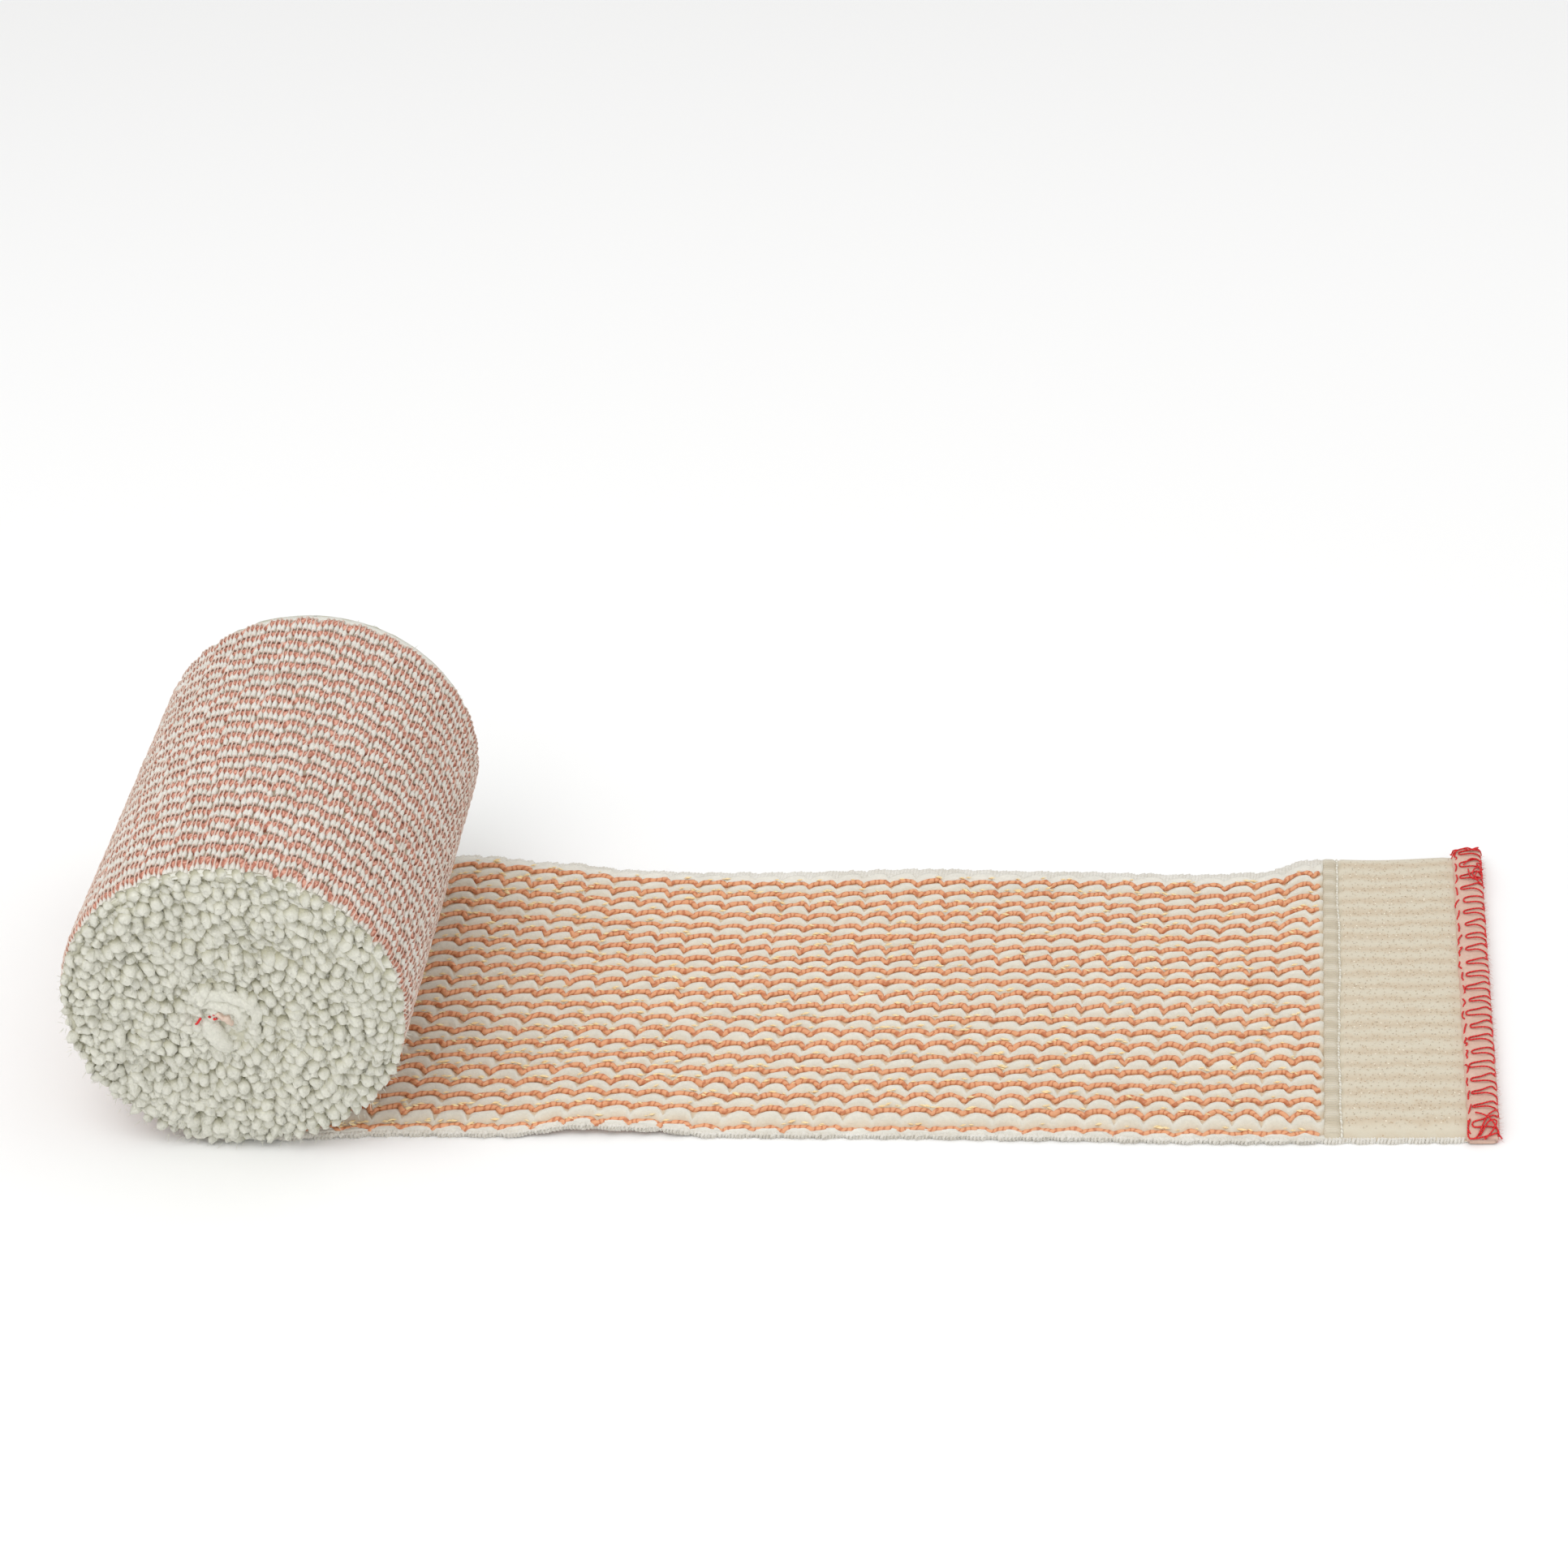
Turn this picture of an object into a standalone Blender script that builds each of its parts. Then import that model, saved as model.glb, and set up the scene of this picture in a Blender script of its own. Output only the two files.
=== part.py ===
"""Elastic bandage lying on its side, partly unrolled.

One woven strip is wound into a soft roll, and its free tail lies flat to the right of it. The tail ends
in a hook tape, held by a seam, and in an overlocked edge. A second overlocked edge lies in the core.
Metres, +Z up. The strip stands on z = 0, and the middle of its box is at x = 0, y = 0.
"""

import math
from collections import namedtuple

import bmesh
import bpy
from mathutils import Vector

# Woven strip: the low ribs are the rows that its elastic cords raise
STRIP_WIDTH = 0.1000
STRIP_THICKNESS = 0.0020
RIB_COUNT = 21
RIB_HEIGHT = 0.0004
RIB_FADE_TURNS = 1 / 12
SELVAGE_WIDTH = 0.0030

# Roll: its outermost turn is slightly squashed, and its core lies low and left of its middle
ROLL_RADIUS_X = 0.0330
ROLL_RADIUS_Z = 0.0310
ROLL_WIDTH = 0.0968
ROLL_YAW = math.radians(4.2)
ROLL_EDGE_DROP = 0.0013
CORE_RADIUS = 0.0050
CORE_LEFT = 0.0035
CORE_DOWN = 0.0035
TURN_GAP = 0.0003

# Tail: measured along its middle, from the line where it leaves the roll
TAIL_LENGTH = 0.2370
TAIL_LEAVING_LENGTH = 0.0200
END_SKEW = math.radians(7.0)

# Hook tape over the end of the tail, and the strip sewn flat under it
PANEL_LENGTH = 0.0333
PANEL_THICKNESS = 0.0008
PANEL_INSET = 0.0003
PANEL_SQUEEZE = 0.0002
SEWN_THICKNESS = 0.0016
SEWN_RAMP = 0.0012

# Lockstitch seam, in a groove of the tape
SEAM_FROM_EDGE = 0.0030
SEAM_THREAD = 0.0006
SEAM_GROOVE_WIDTH = 0.0014
SEAM_GROOVE_DEPTH = 0.0005
SEAM_GROOVE_SLOPE = 0.00015

# Overlocked edges
OVERLOCK_LENGTH = 0.0057
OVERLOCK_WALL = 0.0005
OVERLOCK_CORNER = 0.0004
OVERLOCK_PUCKER = 0.0004
OVERLOCK_STITCHES = 22
CORE_BEAD_RADIUS = 0.0024
CORE_BEAD_FLATNESS = 0.80
CORE_BEAD_SIDES = 14

# Clearance between touching pieces
GAP = 0.0003
WELD_DISTANCE = 0.00002

# Stations of the loft
OUTER_TURN_STATIONS = 44
INNER_TURN_STATIONS = 28
TAIL_STATION_LENGTH = 0.0080
FLAT_ANGLE = math.radians(0.2)
SMOOTH_ANGLE = math.radians(40)

# Shape of the tail: its near and far edge as shares of half the strip's width, and how far each edge
# curls up, as a share of the strip's thickness
TailRow = namedtuple("TailRow", "along near far near_lift far_lift")
TAIL_ROWS = (
    TailRow(0.000, 0.950, 0.968, 0.0, 0.0),
    TailRow(0.120, 0.915, 0.975, 0.0, 0.3),
    TailRow(0.200, 0.925, 0.930, 0.1, 0.1),
    TailRow(0.265, 0.905, 0.880, 0.7, 0.0),
    TailRow(0.320, 0.910, 0.862, 0.5, 0.0),
    TailRow(0.375, 0.925, 0.850, 0.0, 0.2),
    TailRow(0.525, 0.932, 0.872, 0.0, 0.3),
    TailRow(0.630, 0.945, 0.870, 0.1, 0.0),
    TailRow(0.755, 0.962, 0.835, 0.0, 0.2),
    TailRow(0.805, 0.966, 0.855, 0.0, 0.1),
    TailRow(0.855, 0.964, 0.965, 0.0, 0.0),
    TailRow(0.905, 0.964, 0.955, 0.0, 0.0),
    TailRow(1.000, 0.960, 0.985, 0.0, 0.0),
)

# One cross line of the strip: the middles of its two faces, its direction, its reach towards each edge,
# how strongly each face is ribbed, how far the outer face drops at the edges, and how the edges curl
Station = namedtuple("Station", "outer inner across near far outer_ribs inner_ribs drop near_lift far_lift")

turn_pitch = STRIP_THICKNESS + TURN_GAP
turn_count = ((ROLL_RADIUS_X + ROLL_RADIUS_Z) / 2 - CORE_RADIUS) / turn_pitch
panel_top = SEWN_THICKNESS + GAP + PANEL_THICKNESS
overlock_start = TAIL_LENGTH - OVERLOCK_LENGTH
sewn_end = TAIL_LENGTH - OVERLOCK_WALL - GAP
panel_start = TAIL_LENGTH - PANEL_LENGTH


def smooth(share):
    share = min(max(share, 0.0), 1.0)
    return share * share * (3 - 2 * share)


def tail_value(along, column):
    """Reads one column of the tail's rows, eased from row to row."""
    share = min(max(along / TAIL_LENGTH, 0.0), 1.0)
    for before, after in zip(TAIL_ROWS, TAIL_ROWS[1:]):
        if share <= after.along:
            ease = smooth((share - before.along) / (after.along - before.along))
            return getattr(before, column) * (1 - ease) + getattr(after, column) * ease
    return getattr(TAIL_ROWS[-1], column)


def spiral_point(turns):
    """The outer face's middle, so many turns inward from where the tail leaves the roll."""
    share = turns / turn_count
    angle = math.tau * turns
    centre_x = -CORE_LEFT * share
    centre_z = ROLL_RADIUS_Z - CORE_DOWN * share
    reach_x = ROLL_RADIUS_X + (CORE_RADIUS - ROLL_RADIUS_X) * share
    reach_z = ROLL_RADIUS_Z + (CORE_RADIUS - ROLL_RADIUS_Z) * share
    from_axis = centre_x - reach_x * math.sin(angle)
    return Vector((from_axis * math.cos(ROLL_YAW), -from_axis * math.sin(ROLL_YAW),
                   centre_z - reach_z * math.cos(angle)))


def roll_station(turns):
    """A cross line on the roll. Its inner face stops a gap short of the next turn."""
    outer = spiral_point(turns)
    next_turn = spiral_point(turns + 1)
    inner = next_turn + (outer - next_turn).normalized() * TURN_GAP
    shown = smooth(turns / RIB_FADE_TURNS) * smooth((1 - turns) / RIB_FADE_TURNS)
    across = Vector((math.sin(ROLL_YAW), math.cos(ROLL_YAW), 0))
    half = ROLL_WIDTH / 2
    return Station(outer, inner, across, half, half, shown, 0, ROLL_EDGE_DROP * shown, 0, 0)


def tail_station(along, bottom, top, ribs=0.0, inset=0.0, curl=1.0):
    """A cross line on the tail, or on a piece that lies on it, between two heights."""
    skew = ROLL_YAW + (END_SKEW - ROLL_YAW) * smooth(along / TAIL_LENGTH)
    across = Vector((math.tan(skew), 1, 0))
    half = STRIP_WIDTH / 2
    near = half * tail_value(along, "near") - inset
    far = half * tail_value(along, "far") - inset
    near_lift = curl * STRIP_THICKNESS * tail_value(along, "near_lift")
    far_lift = curl * STRIP_THICKNESS * tail_value(along, "far_lift")
    return Station(Vector((along, 0, bottom)), Vector((along, 0, top)), across, near, far,
                   0, ribs, 0, near_lift, far_lift)


def rib_profile():
    """Places across the strip from -1 to 1, each with its share of a rib's height."""
    inner = 1 - 2 * SELVAGE_WIDTH / STRIP_WIDTH
    steps = 2 * RIB_COUNT
    rows = [(inner * (2 * step / steps - 1), step % 2) for step in range(steps + 1)]
    return [(-1, 1)] + rows + [(1, 1)]


def flat_profile():
    return [(-1, 1), (1, 1)]


def section(station, profile):
    """The closed outline of the strip at one station: outer face there, inner face back."""
    thickness = station.inner - station.outer
    inward = thickness.normalized()
    outer_side, inner_side = [], []
    for place, rib in profile:
        reach = station.near if place < 0 else station.far
        lift = (station.near_lift if place < 0 else station.far_lift) * place ** 4
        middle = station.across * (reach * place) + Vector((0, 0, lift))
        dip = RIB_HEIGHT * (1 - rib)
        edge = station.drop if abs(place) == 1 else 0
        outer_side.append(station.outer + middle + inward * (dip * station.outer_ribs + edge))
        inner_side.append(station.inner + middle - inward * (dip * station.inner_ribs))
    return outer_side + inner_side[::-1]


def loft(name, outlines, colour, roughness):
    """A closed solid through outlines of equal length, with its flat stretches merged."""
    mesh = bpy.data.meshes.new(name)
    bm = bmesh.new()
    rings = [[bm.verts.new(point) for point in outline] for outline in outlines]
    for ring, following in zip(rings, rings[1:]):
        for step in range(len(ring)):
            other = (step + 1) % len(ring)
            bm.faces.new((ring[step], ring[other], following[other], following[step]))
    bm.faces.new(rings[0])
    bm.faces.new(rings[-1][::-1])
    bmesh.ops.recalc_face_normals(bm, faces=bm.faces)
    bmesh.ops.dissolve_limit(bm, angle_limit=FLAT_ANGLE, verts=bm.verts, edges=bm.edges)
    bm.to_mesh(mesh)
    bm.free()
    return finished(name, mesh, colour, roughness)


def finished(name, mesh, colour, roughness):
    """The piece as an object in the bandage's collection, with its own material."""
    material = bpy.data.materials.new(name)
    material.use_nodes = True
    shader = material.node_tree.nodes["Principled BSDF"]
    shader.inputs["Base Color"].default_value = (*colour, 1)
    shader.inputs["Roughness"].default_value = roughness
    shader.inputs["Metallic"].default_value = 0
    mesh.materials.append(material)
    piece = bpy.data.objects.new(name, mesh)
    bandage.objects.link(piece)
    return piece


def roll_stations():
    """From the core outward to the line where the tail leaves the roll."""
    inner_steps = math.ceil((turn_count - 1) * INNER_TURN_STATIONS)
    inner_turns = [1 + (turn_count - 1) * (1 - step / inner_steps) for step in range(inner_steps)]
    outer_turn = [1 - step / OUTER_TURN_STATIONS for step in range(OUTER_TURN_STATIONS)]
    return [roll_station(turns) for turns in inner_turns + outer_turn]


def tail_stations():
    """From the roll to the end that the overlock binds."""
    leaving = roll_station(0)
    leaving_thickness = leaving.inner.z
    ribbed_end = panel_start - GAP - SEWN_RAMP
    steps = math.ceil(ribbed_end / TAIL_STATION_LENGTH)
    stations = [leaving._replace(outer_ribs=0, drop=0)]
    for step in range(1, steps + 1):
        along = ribbed_end * step / steps
        settle = smooth(along / TAIL_LEAVING_LENGTH)
        top = leaving_thickness + (STRIP_THICKNESS - leaving_thickness) * settle
        stations.append(tail_station(along, 0, top, ribs=settle))
    flat_start = panel_start - GAP
    binding_ramp = overlock_start - GAP
    lifted = OVERLOCK_WALL + GAP
    stations.append(tail_station(flat_start, 0, SEWN_THICKNESS, curl=0))
    stations.append(tail_station(binding_ramp - SEWN_RAMP, 0, SEWN_THICKNESS, curl=0))
    stations.append(tail_station(binding_ramp, lifted, SEWN_THICKNESS, curl=0))
    stations.append(tail_station(sewn_end, lifted, SEWN_THICKNESS, curl=0))
    return stations


def elastic_strip():
    profile = rib_profile()
    outlines = [section(station, profile) for station in roll_stations() + tail_stations()]
    return loft("elastic_strip", outlines, (0.72, 0.56, 0.44), 0.9)


def hook_panel():
    """A thin tape, inset from the strip's edges, with a groove for the seam, squeezed where it is bound."""
    bottom = SEWN_THICKNESS + GAP
    seam = panel_start + SEAM_FROM_EDGE
    groove_start = seam - SEAM_GROOVE_WIDTH / 2
    groove_end = seam + SEAM_GROOVE_WIDTH / 2
    heights = (
        (panel_start, panel_top),
        (groove_start, panel_top),
        (groove_start + SEAM_GROOVE_SLOPE, panel_top - SEAM_GROOVE_DEPTH),
        (groove_end - SEAM_GROOVE_SLOPE, panel_top - SEAM_GROOVE_DEPTH),
        (groove_end, panel_top),
        (overlock_start - GAP - SEWN_RAMP, panel_top),
        (overlock_start - GAP, panel_top - PANEL_SQUEEZE),
        (sewn_end, panel_top - PANEL_SQUEEZE),
    )
    stations = [tail_station(along, bottom, top, inset=PANEL_INSET, curl=0) for along, top in heights]
    outlines = [section(station, flat_profile()) for station in stations]
    return loft("hook_panel", outlines, (0.66, 0.56, 0.42), 0.6)


def panel_seam():
    """The line of thread that lies in the tape's groove."""
    line = tail_station(panel_start + SEAM_FROM_EDGE, 0, 1, inset=2 * PANEL_INSET, curl=0)
    height = panel_top - SEAM_GROOVE_DEPTH + GAP + SEAM_THREAD / 2
    middle = Vector((line.outer.x, 0, height))
    curve = bpy.data.curves.new("panel_seam", "CURVE")
    curve.dimensions = "3D"
    curve.bevel_depth = SEAM_THREAD / 2
    curve.bevel_resolution = 1
    curve.use_fill_caps = True
    spline = curve.splines.new("POLY")
    spline.points.add(1)
    spline.points[0].co = (*(middle - line.across * line.near), 1)
    spline.points[1].co = (*(middle + line.across * line.far), 1)
    holder = bpy.data.objects.new("panel_seam_curve", curve)
    bandage.objects.link(holder)
    seam = bpy.data.meshes.new_from_object(holder.evaluated_get(bpy.context.evaluated_depsgraph_get()))
    bpy.data.objects.remove(holder)
    bm = bmesh.new()
    bm.from_mesh(seam)
    bmesh.ops.remove_doubles(bm, verts=bm.verts, dist=WELD_DISTANCE)
    bm.to_mesh(seam)
    bm.free()
    seam.name = "panel_seam"
    seam.materials.clear()
    return finished("panel_seam", seam, (0.86, 0.86, 0.88), 0.7)


def overlock_outline(pucker):
    """The C round the end: over the tape, round the cut edge and back under the strip."""
    low = OVERLOCK_WALL
    high = panel_top + GAP
    top = high + OVERLOCK_WALL + pucker
    start = overlock_start + pucker
    slot_end = sewn_end + GAP
    corner = OVERLOCK_CORNER
    return (
        (overlock_start, 0), (TAIL_LENGTH - corner, 0), (TAIL_LENGTH, corner), (TAIL_LENGTH, top - corner),
        (TAIL_LENGTH - corner, top), (start + corner, top), (start, high + corner), (start, high),
        (slot_end, high), (slot_end, low), (overlock_start, low),
    )


def end_overlock():
    """The bound end, puckered a little at each stitch."""
    outlines = []
    steps = 2 * OVERLOCK_STITCHES
    for step in range(steps + 1):
        place = 2 * step / steps - 1
        pucker = OVERLOCK_PUCKER * (step % 2)
        outline = []
        for along, height in overlock_outline(pucker):
            line = tail_station(along, 0, 1, curl=0)
            reach = line.near if place < 0 else line.far
            outline.append(Vector((along, 0, height)) + line.across * (reach * place))
        outlines.append(outline)
    return loft("end_overlock", outlines, (0.74, 0.42, 0.36), 0.9)


def core_overlock():
    """The bound inner end: a flattened bead along the core."""
    bpy.ops.mesh.primitive_cylinder_add(vertices=CORE_BEAD_SIDES, radius=CORE_BEAD_RADIUS, depth=ROLL_WIDTH)
    rod = bpy.context.object
    bead = rod.data
    bpy.data.objects.remove(rod)
    for vertex in bead.vertices:
        vertex.co = (vertex.co.x, vertex.co.z, vertex.co.y * CORE_BEAD_FLATNESS)
    bm = bmesh.new()
    bm.from_mesh(bead)
    bmesh.ops.recalc_face_normals(bm, faces=bm.faces)
    bm.to_mesh(bead)
    bm.free()
    bead.shade_smooth()
    bead.set_sharp_from_angle(angle=SMOOTH_ANGLE)
    piece = finished("core_overlock", bead, (0.78, 0.66, 0.56), 0.9)
    piece.location = (-CORE_LEFT, 0, ROLL_RADIUS_Z - CORE_DOWN)
    piece.rotation_euler = (0, 0, -ROLL_YAW)
    return piece


def centre_on_box(pieces):
    """Puts every piece under one empty, which carries the middle of their box to the origin."""
    bpy.context.view_layer.update()
    corners = [piece.matrix_world @ Vector(corner) for piece in pieces for corner in piece.bound_box]
    middle_x = (min(corner.x for corner in corners) + max(corner.x for corner in corners)) / 2
    middle_y = (min(corner.y for corner in corners) + max(corner.y for corner in corners)) / 2
    carrier = bpy.data.objects.new("bandage_place", None)
    bandage.objects.link(carrier)
    carrier.location = (-middle_x, -middle_y, 0)
    for piece in pieces:
        piece.parent = carrier


for old in list(bpy.data.objects):
    bpy.data.objects.remove(old)
bandage = bpy.data.collections.new("elastic_bandage")
bpy.context.scene.collection.children.link(bandage)
centre_on_box([elastic_strip(), hook_panel(), panel_seam(), end_overlock(), core_overlock()])
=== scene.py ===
"""An elastic bandage lying on its side, half unrolled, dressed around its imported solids."""

import math

import bpy
import numpy as np
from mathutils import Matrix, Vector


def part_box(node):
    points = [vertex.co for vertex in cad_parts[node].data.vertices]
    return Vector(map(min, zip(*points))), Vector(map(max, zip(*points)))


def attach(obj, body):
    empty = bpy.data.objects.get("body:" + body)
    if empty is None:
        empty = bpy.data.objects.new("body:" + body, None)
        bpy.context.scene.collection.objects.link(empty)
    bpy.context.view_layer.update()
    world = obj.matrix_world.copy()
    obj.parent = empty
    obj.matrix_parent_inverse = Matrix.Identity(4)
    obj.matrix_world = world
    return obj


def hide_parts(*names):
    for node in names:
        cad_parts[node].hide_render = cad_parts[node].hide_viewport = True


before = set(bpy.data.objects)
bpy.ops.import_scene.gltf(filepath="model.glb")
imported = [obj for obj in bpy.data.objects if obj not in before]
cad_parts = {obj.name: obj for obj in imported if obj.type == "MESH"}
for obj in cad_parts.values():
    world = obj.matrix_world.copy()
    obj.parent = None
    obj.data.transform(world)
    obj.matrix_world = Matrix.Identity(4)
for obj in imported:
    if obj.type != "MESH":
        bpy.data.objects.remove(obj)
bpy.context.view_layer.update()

# Camera and light
# The bandage is seen from the front and above with a long lens, on a plain white table under wide soft
# lamps, so that only faint shadows lie under the roll and the tail.
photo_width = 1932
focal_pixels = 4583.7
camera_place = (-0.0066, -0.6083, 0.4228)
camera_fall = math.radians(31.53)
world_glow = 0.76
lamp_rows = (
    # place, size, power
    ((-0.35, -0.30, 0.75), 0.70, 2.7),
    ((0.45, 0.25, 0.80), 0.60, 1.0),
    ((0.05, -0.75, 0.35), 0.80, 0.5),
)


def aim(holder, target):
    away = np.array(target) - np.array(holder.location)
    holder.rotation_euler = (math.acos(-away[2] / np.linalg.norm(away)), 0,
                             math.atan2(away[1], away[0]) - math.pi / 2)


camera_data = bpy.data.cameras.new("camera")
camera_data.lens = camera_data.sensor_width * focal_pixels / photo_width
camera = bpy.data.objects.new("camera", camera_data)
camera.location = camera_place
camera.rotation_euler = (math.pi / 2 - camera_fall, 0, 0)
bpy.context.scene.collection.objects.link(camera)
bpy.context.scene.camera = camera

for number, (place, size, power) in enumerate(lamp_rows):
    lamp = bpy.data.lights.new(f"soft_lamp_{number}", "AREA")
    lamp.size = size
    lamp.energy = power
    holder = bpy.data.objects.new(lamp.name, lamp)
    holder.location = place
    aim(holder, (0, 0, 0.02))
    bpy.context.scene.collection.objects.link(holder)

world = bpy.data.worlds.new("soft_room")
world.use_nodes = True
world.node_tree.nodes["Background"].inputs["Color"].default_value = (1, 1, 1, 1)
world.node_tree.nodes["Background"].inputs["Strength"].default_value = world_glow
bpy.context.scene.world = world
bpy.context.scene.view_settings.view_transform = "Standard"


def put(tree, kind, inputs=None, **settings):
    """A new node with these settings. An input takes a value, or a link where a socket is given."""
    node = tree.nodes.new(kind)
    for setting, value in settings.items():
        setattr(node, setting, value)
    for socket, value in (inputs or {}).items():
        if isinstance(value, bpy.types.NodeSocket):
            tree.links.new(value, node.inputs[socket])
        else:
            node.inputs[socket].default_value = value
    return node


def finish_of(name, colour, roughness):
    """A new material, with the node tree and the shader that its section goes on with."""
    material = bpy.data.materials.new(name)
    material.use_nodes = True
    tree = material.node_tree
    shader = tree.nodes["Principled BSDF"]
    shader.inputs["Base Color"].default_value = (*colour, 1)
    shader.inputs["Roughness"].default_value = roughness
    return material, tree, shader


def mesh_of(name, points):
    """A mesh that holds these points alone."""
    mesh = bpy.data.meshes.new(name)
    mesh.vertices.add(len(points))
    mesh.vertices.foreach_set("co", np.ascontiguousarray(points, dtype=np.float32).ravel())
    return mesh


def in_scene(name, mesh):
    """An object of this mesh, in the scene."""
    piece = bpy.data.objects.new(name, mesh)
    bpy.context.scene.collection.objects.link(piece)
    return piece


def mesh_piece(name, points, faces, material):
    """A piece from arrays of points and of quads or triangles."""
    mesh = mesh_of(name, points)
    corners = faces.shape[1]
    mesh.loops.add(faces.size)
    mesh.loops.foreach_set("vertex_index", faces.ravel().astype(np.int32))
    mesh.polygons.add(len(faces))
    mesh.polygons.foreach_set("loop_start", np.arange(0, faces.size, corners, dtype=np.int32))
    mesh.update(calc_edges=True)
    mesh.validate()
    mesh.shade_smooth()
    mesh.materials.append(material)
    return in_scene(name, mesh)


table_size = 8.0
table_finish, tree, shader = finish_of("table_white", (0.96, 0.96, 0.955), 0.7)
speckle = put(tree, "ShaderNodeTexNoise", {"Scale": 3.0})
tone = put(tree, "ShaderNodeMapRange", {"Value": speckle.outputs["Fac"], "To Min": 0.66, "To Max": 0.74})
tree.links.new(tone.outputs["Result"], shader.inputs["Roughness"])
half = table_size / 2
table_corners = np.array([(-half, -half, 0), (half, -half, 0), (half, half, 0), (-half, half, 0)])
table = mesh_piece("table", table_corners, np.array([(0, 1, 2, 3)]), table_finish)

# Woven strip
# One strip of cotton and elastic, nominally 100 mm wide and 2 mm thick, wound by hand into a soft roll.
# Its free end is pulled out flat, and 21 elastic rows run its whole length and gather it into scallops.
strip_width = 0.1000
strip_thickness = 0.0020
turn_gap = 0.0003
roll_radius_x = 0.0330
roll_radius_z = 0.0310
roll_width = 0.0968
roll_yaw = math.radians(4.2)
core_radius = 0.0050
core_left = 0.0035
core_down = 0.0035
tail_length = 0.2370
tail_leaving = 0.0200
end_skew = math.radians(7.0)
panel_length = 0.0333
sewn_thickness = 0.0016
row_count = 21
row_near = -0.978
row_far = 0.858
roll_row_near = -0.930
roll_row_far = 0.900
scallop_length = 0.0058
scallop_reach = 0.0027
tail_rows = (
    # share along, near edge and far edge as shares of the half width, curl of the near and of the far edge
    (0.000, 0.950, 0.968, 0.0, 0.0),
    (0.120, 0.915, 0.975, 0.0, 0.3),
    (0.200, 0.925, 0.930, 0.1, 0.1),
    (0.265, 0.905, 0.880, 0.7, 0.0),
    (0.320, 0.910, 0.862, 0.5, 0.0),
    (0.375, 0.925, 0.850, 0.0, 0.2),
    (0.525, 0.932, 0.872, 0.0, 0.3),
    (0.630, 0.945, 0.870, 0.1, 0.0),
    (0.755, 0.962, 0.835, 0.0, 0.2),
    (0.805, 0.966, 0.855, 0.0, 0.1),
    (0.855, 0.964, 0.965, 0.0, 0.0),
    (0.905, 0.964, 0.955, 0.0, 0.0),
    (1.000, 0.960, 0.985, 0.0, 0.0),
)
turn_count = ((roll_radius_x + roll_radius_z) / 2 - core_radius) / (strip_thickness + turn_gap)
core_low, core_high = (np.array(corner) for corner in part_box("core_overlock"))
roll_place = (core_low + core_high) / 2 + (core_left, 0, core_down - roll_radius_z)


def smooth(share):
    share = np.clip(share, 0, 1)
    return share * share * (3 - 2 * share)


def spiral(turns):
    """The outer face's middle, so many turns inward from where the tail leaves the roll."""
    share = turns / turn_count
    angle = math.tau * turns
    reach_x = roll_radius_x + (core_radius - roll_radius_x) * share
    reach_z = roll_radius_z + (core_radius - roll_radius_z) * share
    sideways = -core_left * share - reach_x * np.sin(angle)
    height = roll_radius_z - core_down * share - reach_z * np.cos(angle)
    return np.stack((sideways * math.cos(roll_yaw), -sideways * math.sin(roll_yaw), height), -1)


turn_table = np.linspace(0, turn_count, 6000)
turn_steps = np.linalg.norm(np.diff(spiral(turn_table), axis=0), axis=1)
wound_table = np.concatenate(([0], np.cumsum(turn_steps)))
wound_length = wound_table[-1]
outer_turn_length = np.interp(1, turn_table, wound_table)


def tail_column(along, column):
    """One column of the tail's rows, eased from row to row."""
    rows = np.array(tail_rows)
    share = np.clip(along / tail_length, 0, 1)
    step = np.clip(np.searchsorted(rows[:, 0], share, "right") - 1, 0, len(rows) - 2)
    ease = smooth((share - rows[step, 0]) / (rows[step + 1, 0] - rows[step, 0]))
    return rows[step, column] * (1 - ease) + rows[step + 1, column] * ease


def strip_lines(along):
    """Cross lines of the strip: negative places are wound length inward, positive ones lie on the tail."""
    turns = np.interp(np.maximum(-along, 0), wound_table, turn_table)
    outer = spiral(turns)
    following = spiral(turns + 1)
    room = following - outer
    room_length = np.linalg.norm(room, axis=-1, keepdims=True)
    inward = room / room_length
    thickness = room_length[..., 0] - turn_gap
    on_tail = along > 0
    settle = smooth(along / tail_leaving)
    sewn = smooth((along - tail_length + panel_length) / 0.001)
    lying = thickness + (strip_thickness - thickness) * settle
    thickness = np.where(on_tail, lying + (sewn_thickness - lying) * sewn, thickness)
    middle = np.stack((np.maximum(along, 0), 0 * along, 0 * along), -1)
    outer = np.where(on_tail[..., None], middle, outer) + roll_place
    inward = np.where(on_tail[..., None], (0.0, 0.0, 1.0), inward)
    skew = roll_yaw + (end_skew - roll_yaw) * smooth(along / tail_length)
    lying_across = np.stack((np.tan(skew), 1 + 0 * along, 0 * along), -1)
    across = np.where(on_tail[..., None], lying_across, (math.sin(roll_yaw), math.cos(roll_yaw), 0))
    near = np.where(on_tail, strip_width / 2 * tail_column(along, 1), roll_width / 2)
    far = np.where(on_tail, strip_width / 2 * tail_column(along, 2), roll_width / 2)
    curls = strip_thickness * np.stack((tail_column(along, 3), tail_column(along, 4)), -1)
    return outer, inward, thickness, across, near, far, curls


edge_round = 0.0009
edge_round_width = 0.0040
edge_round_start = 0.03
thinnest_edge = 0.00035


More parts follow.
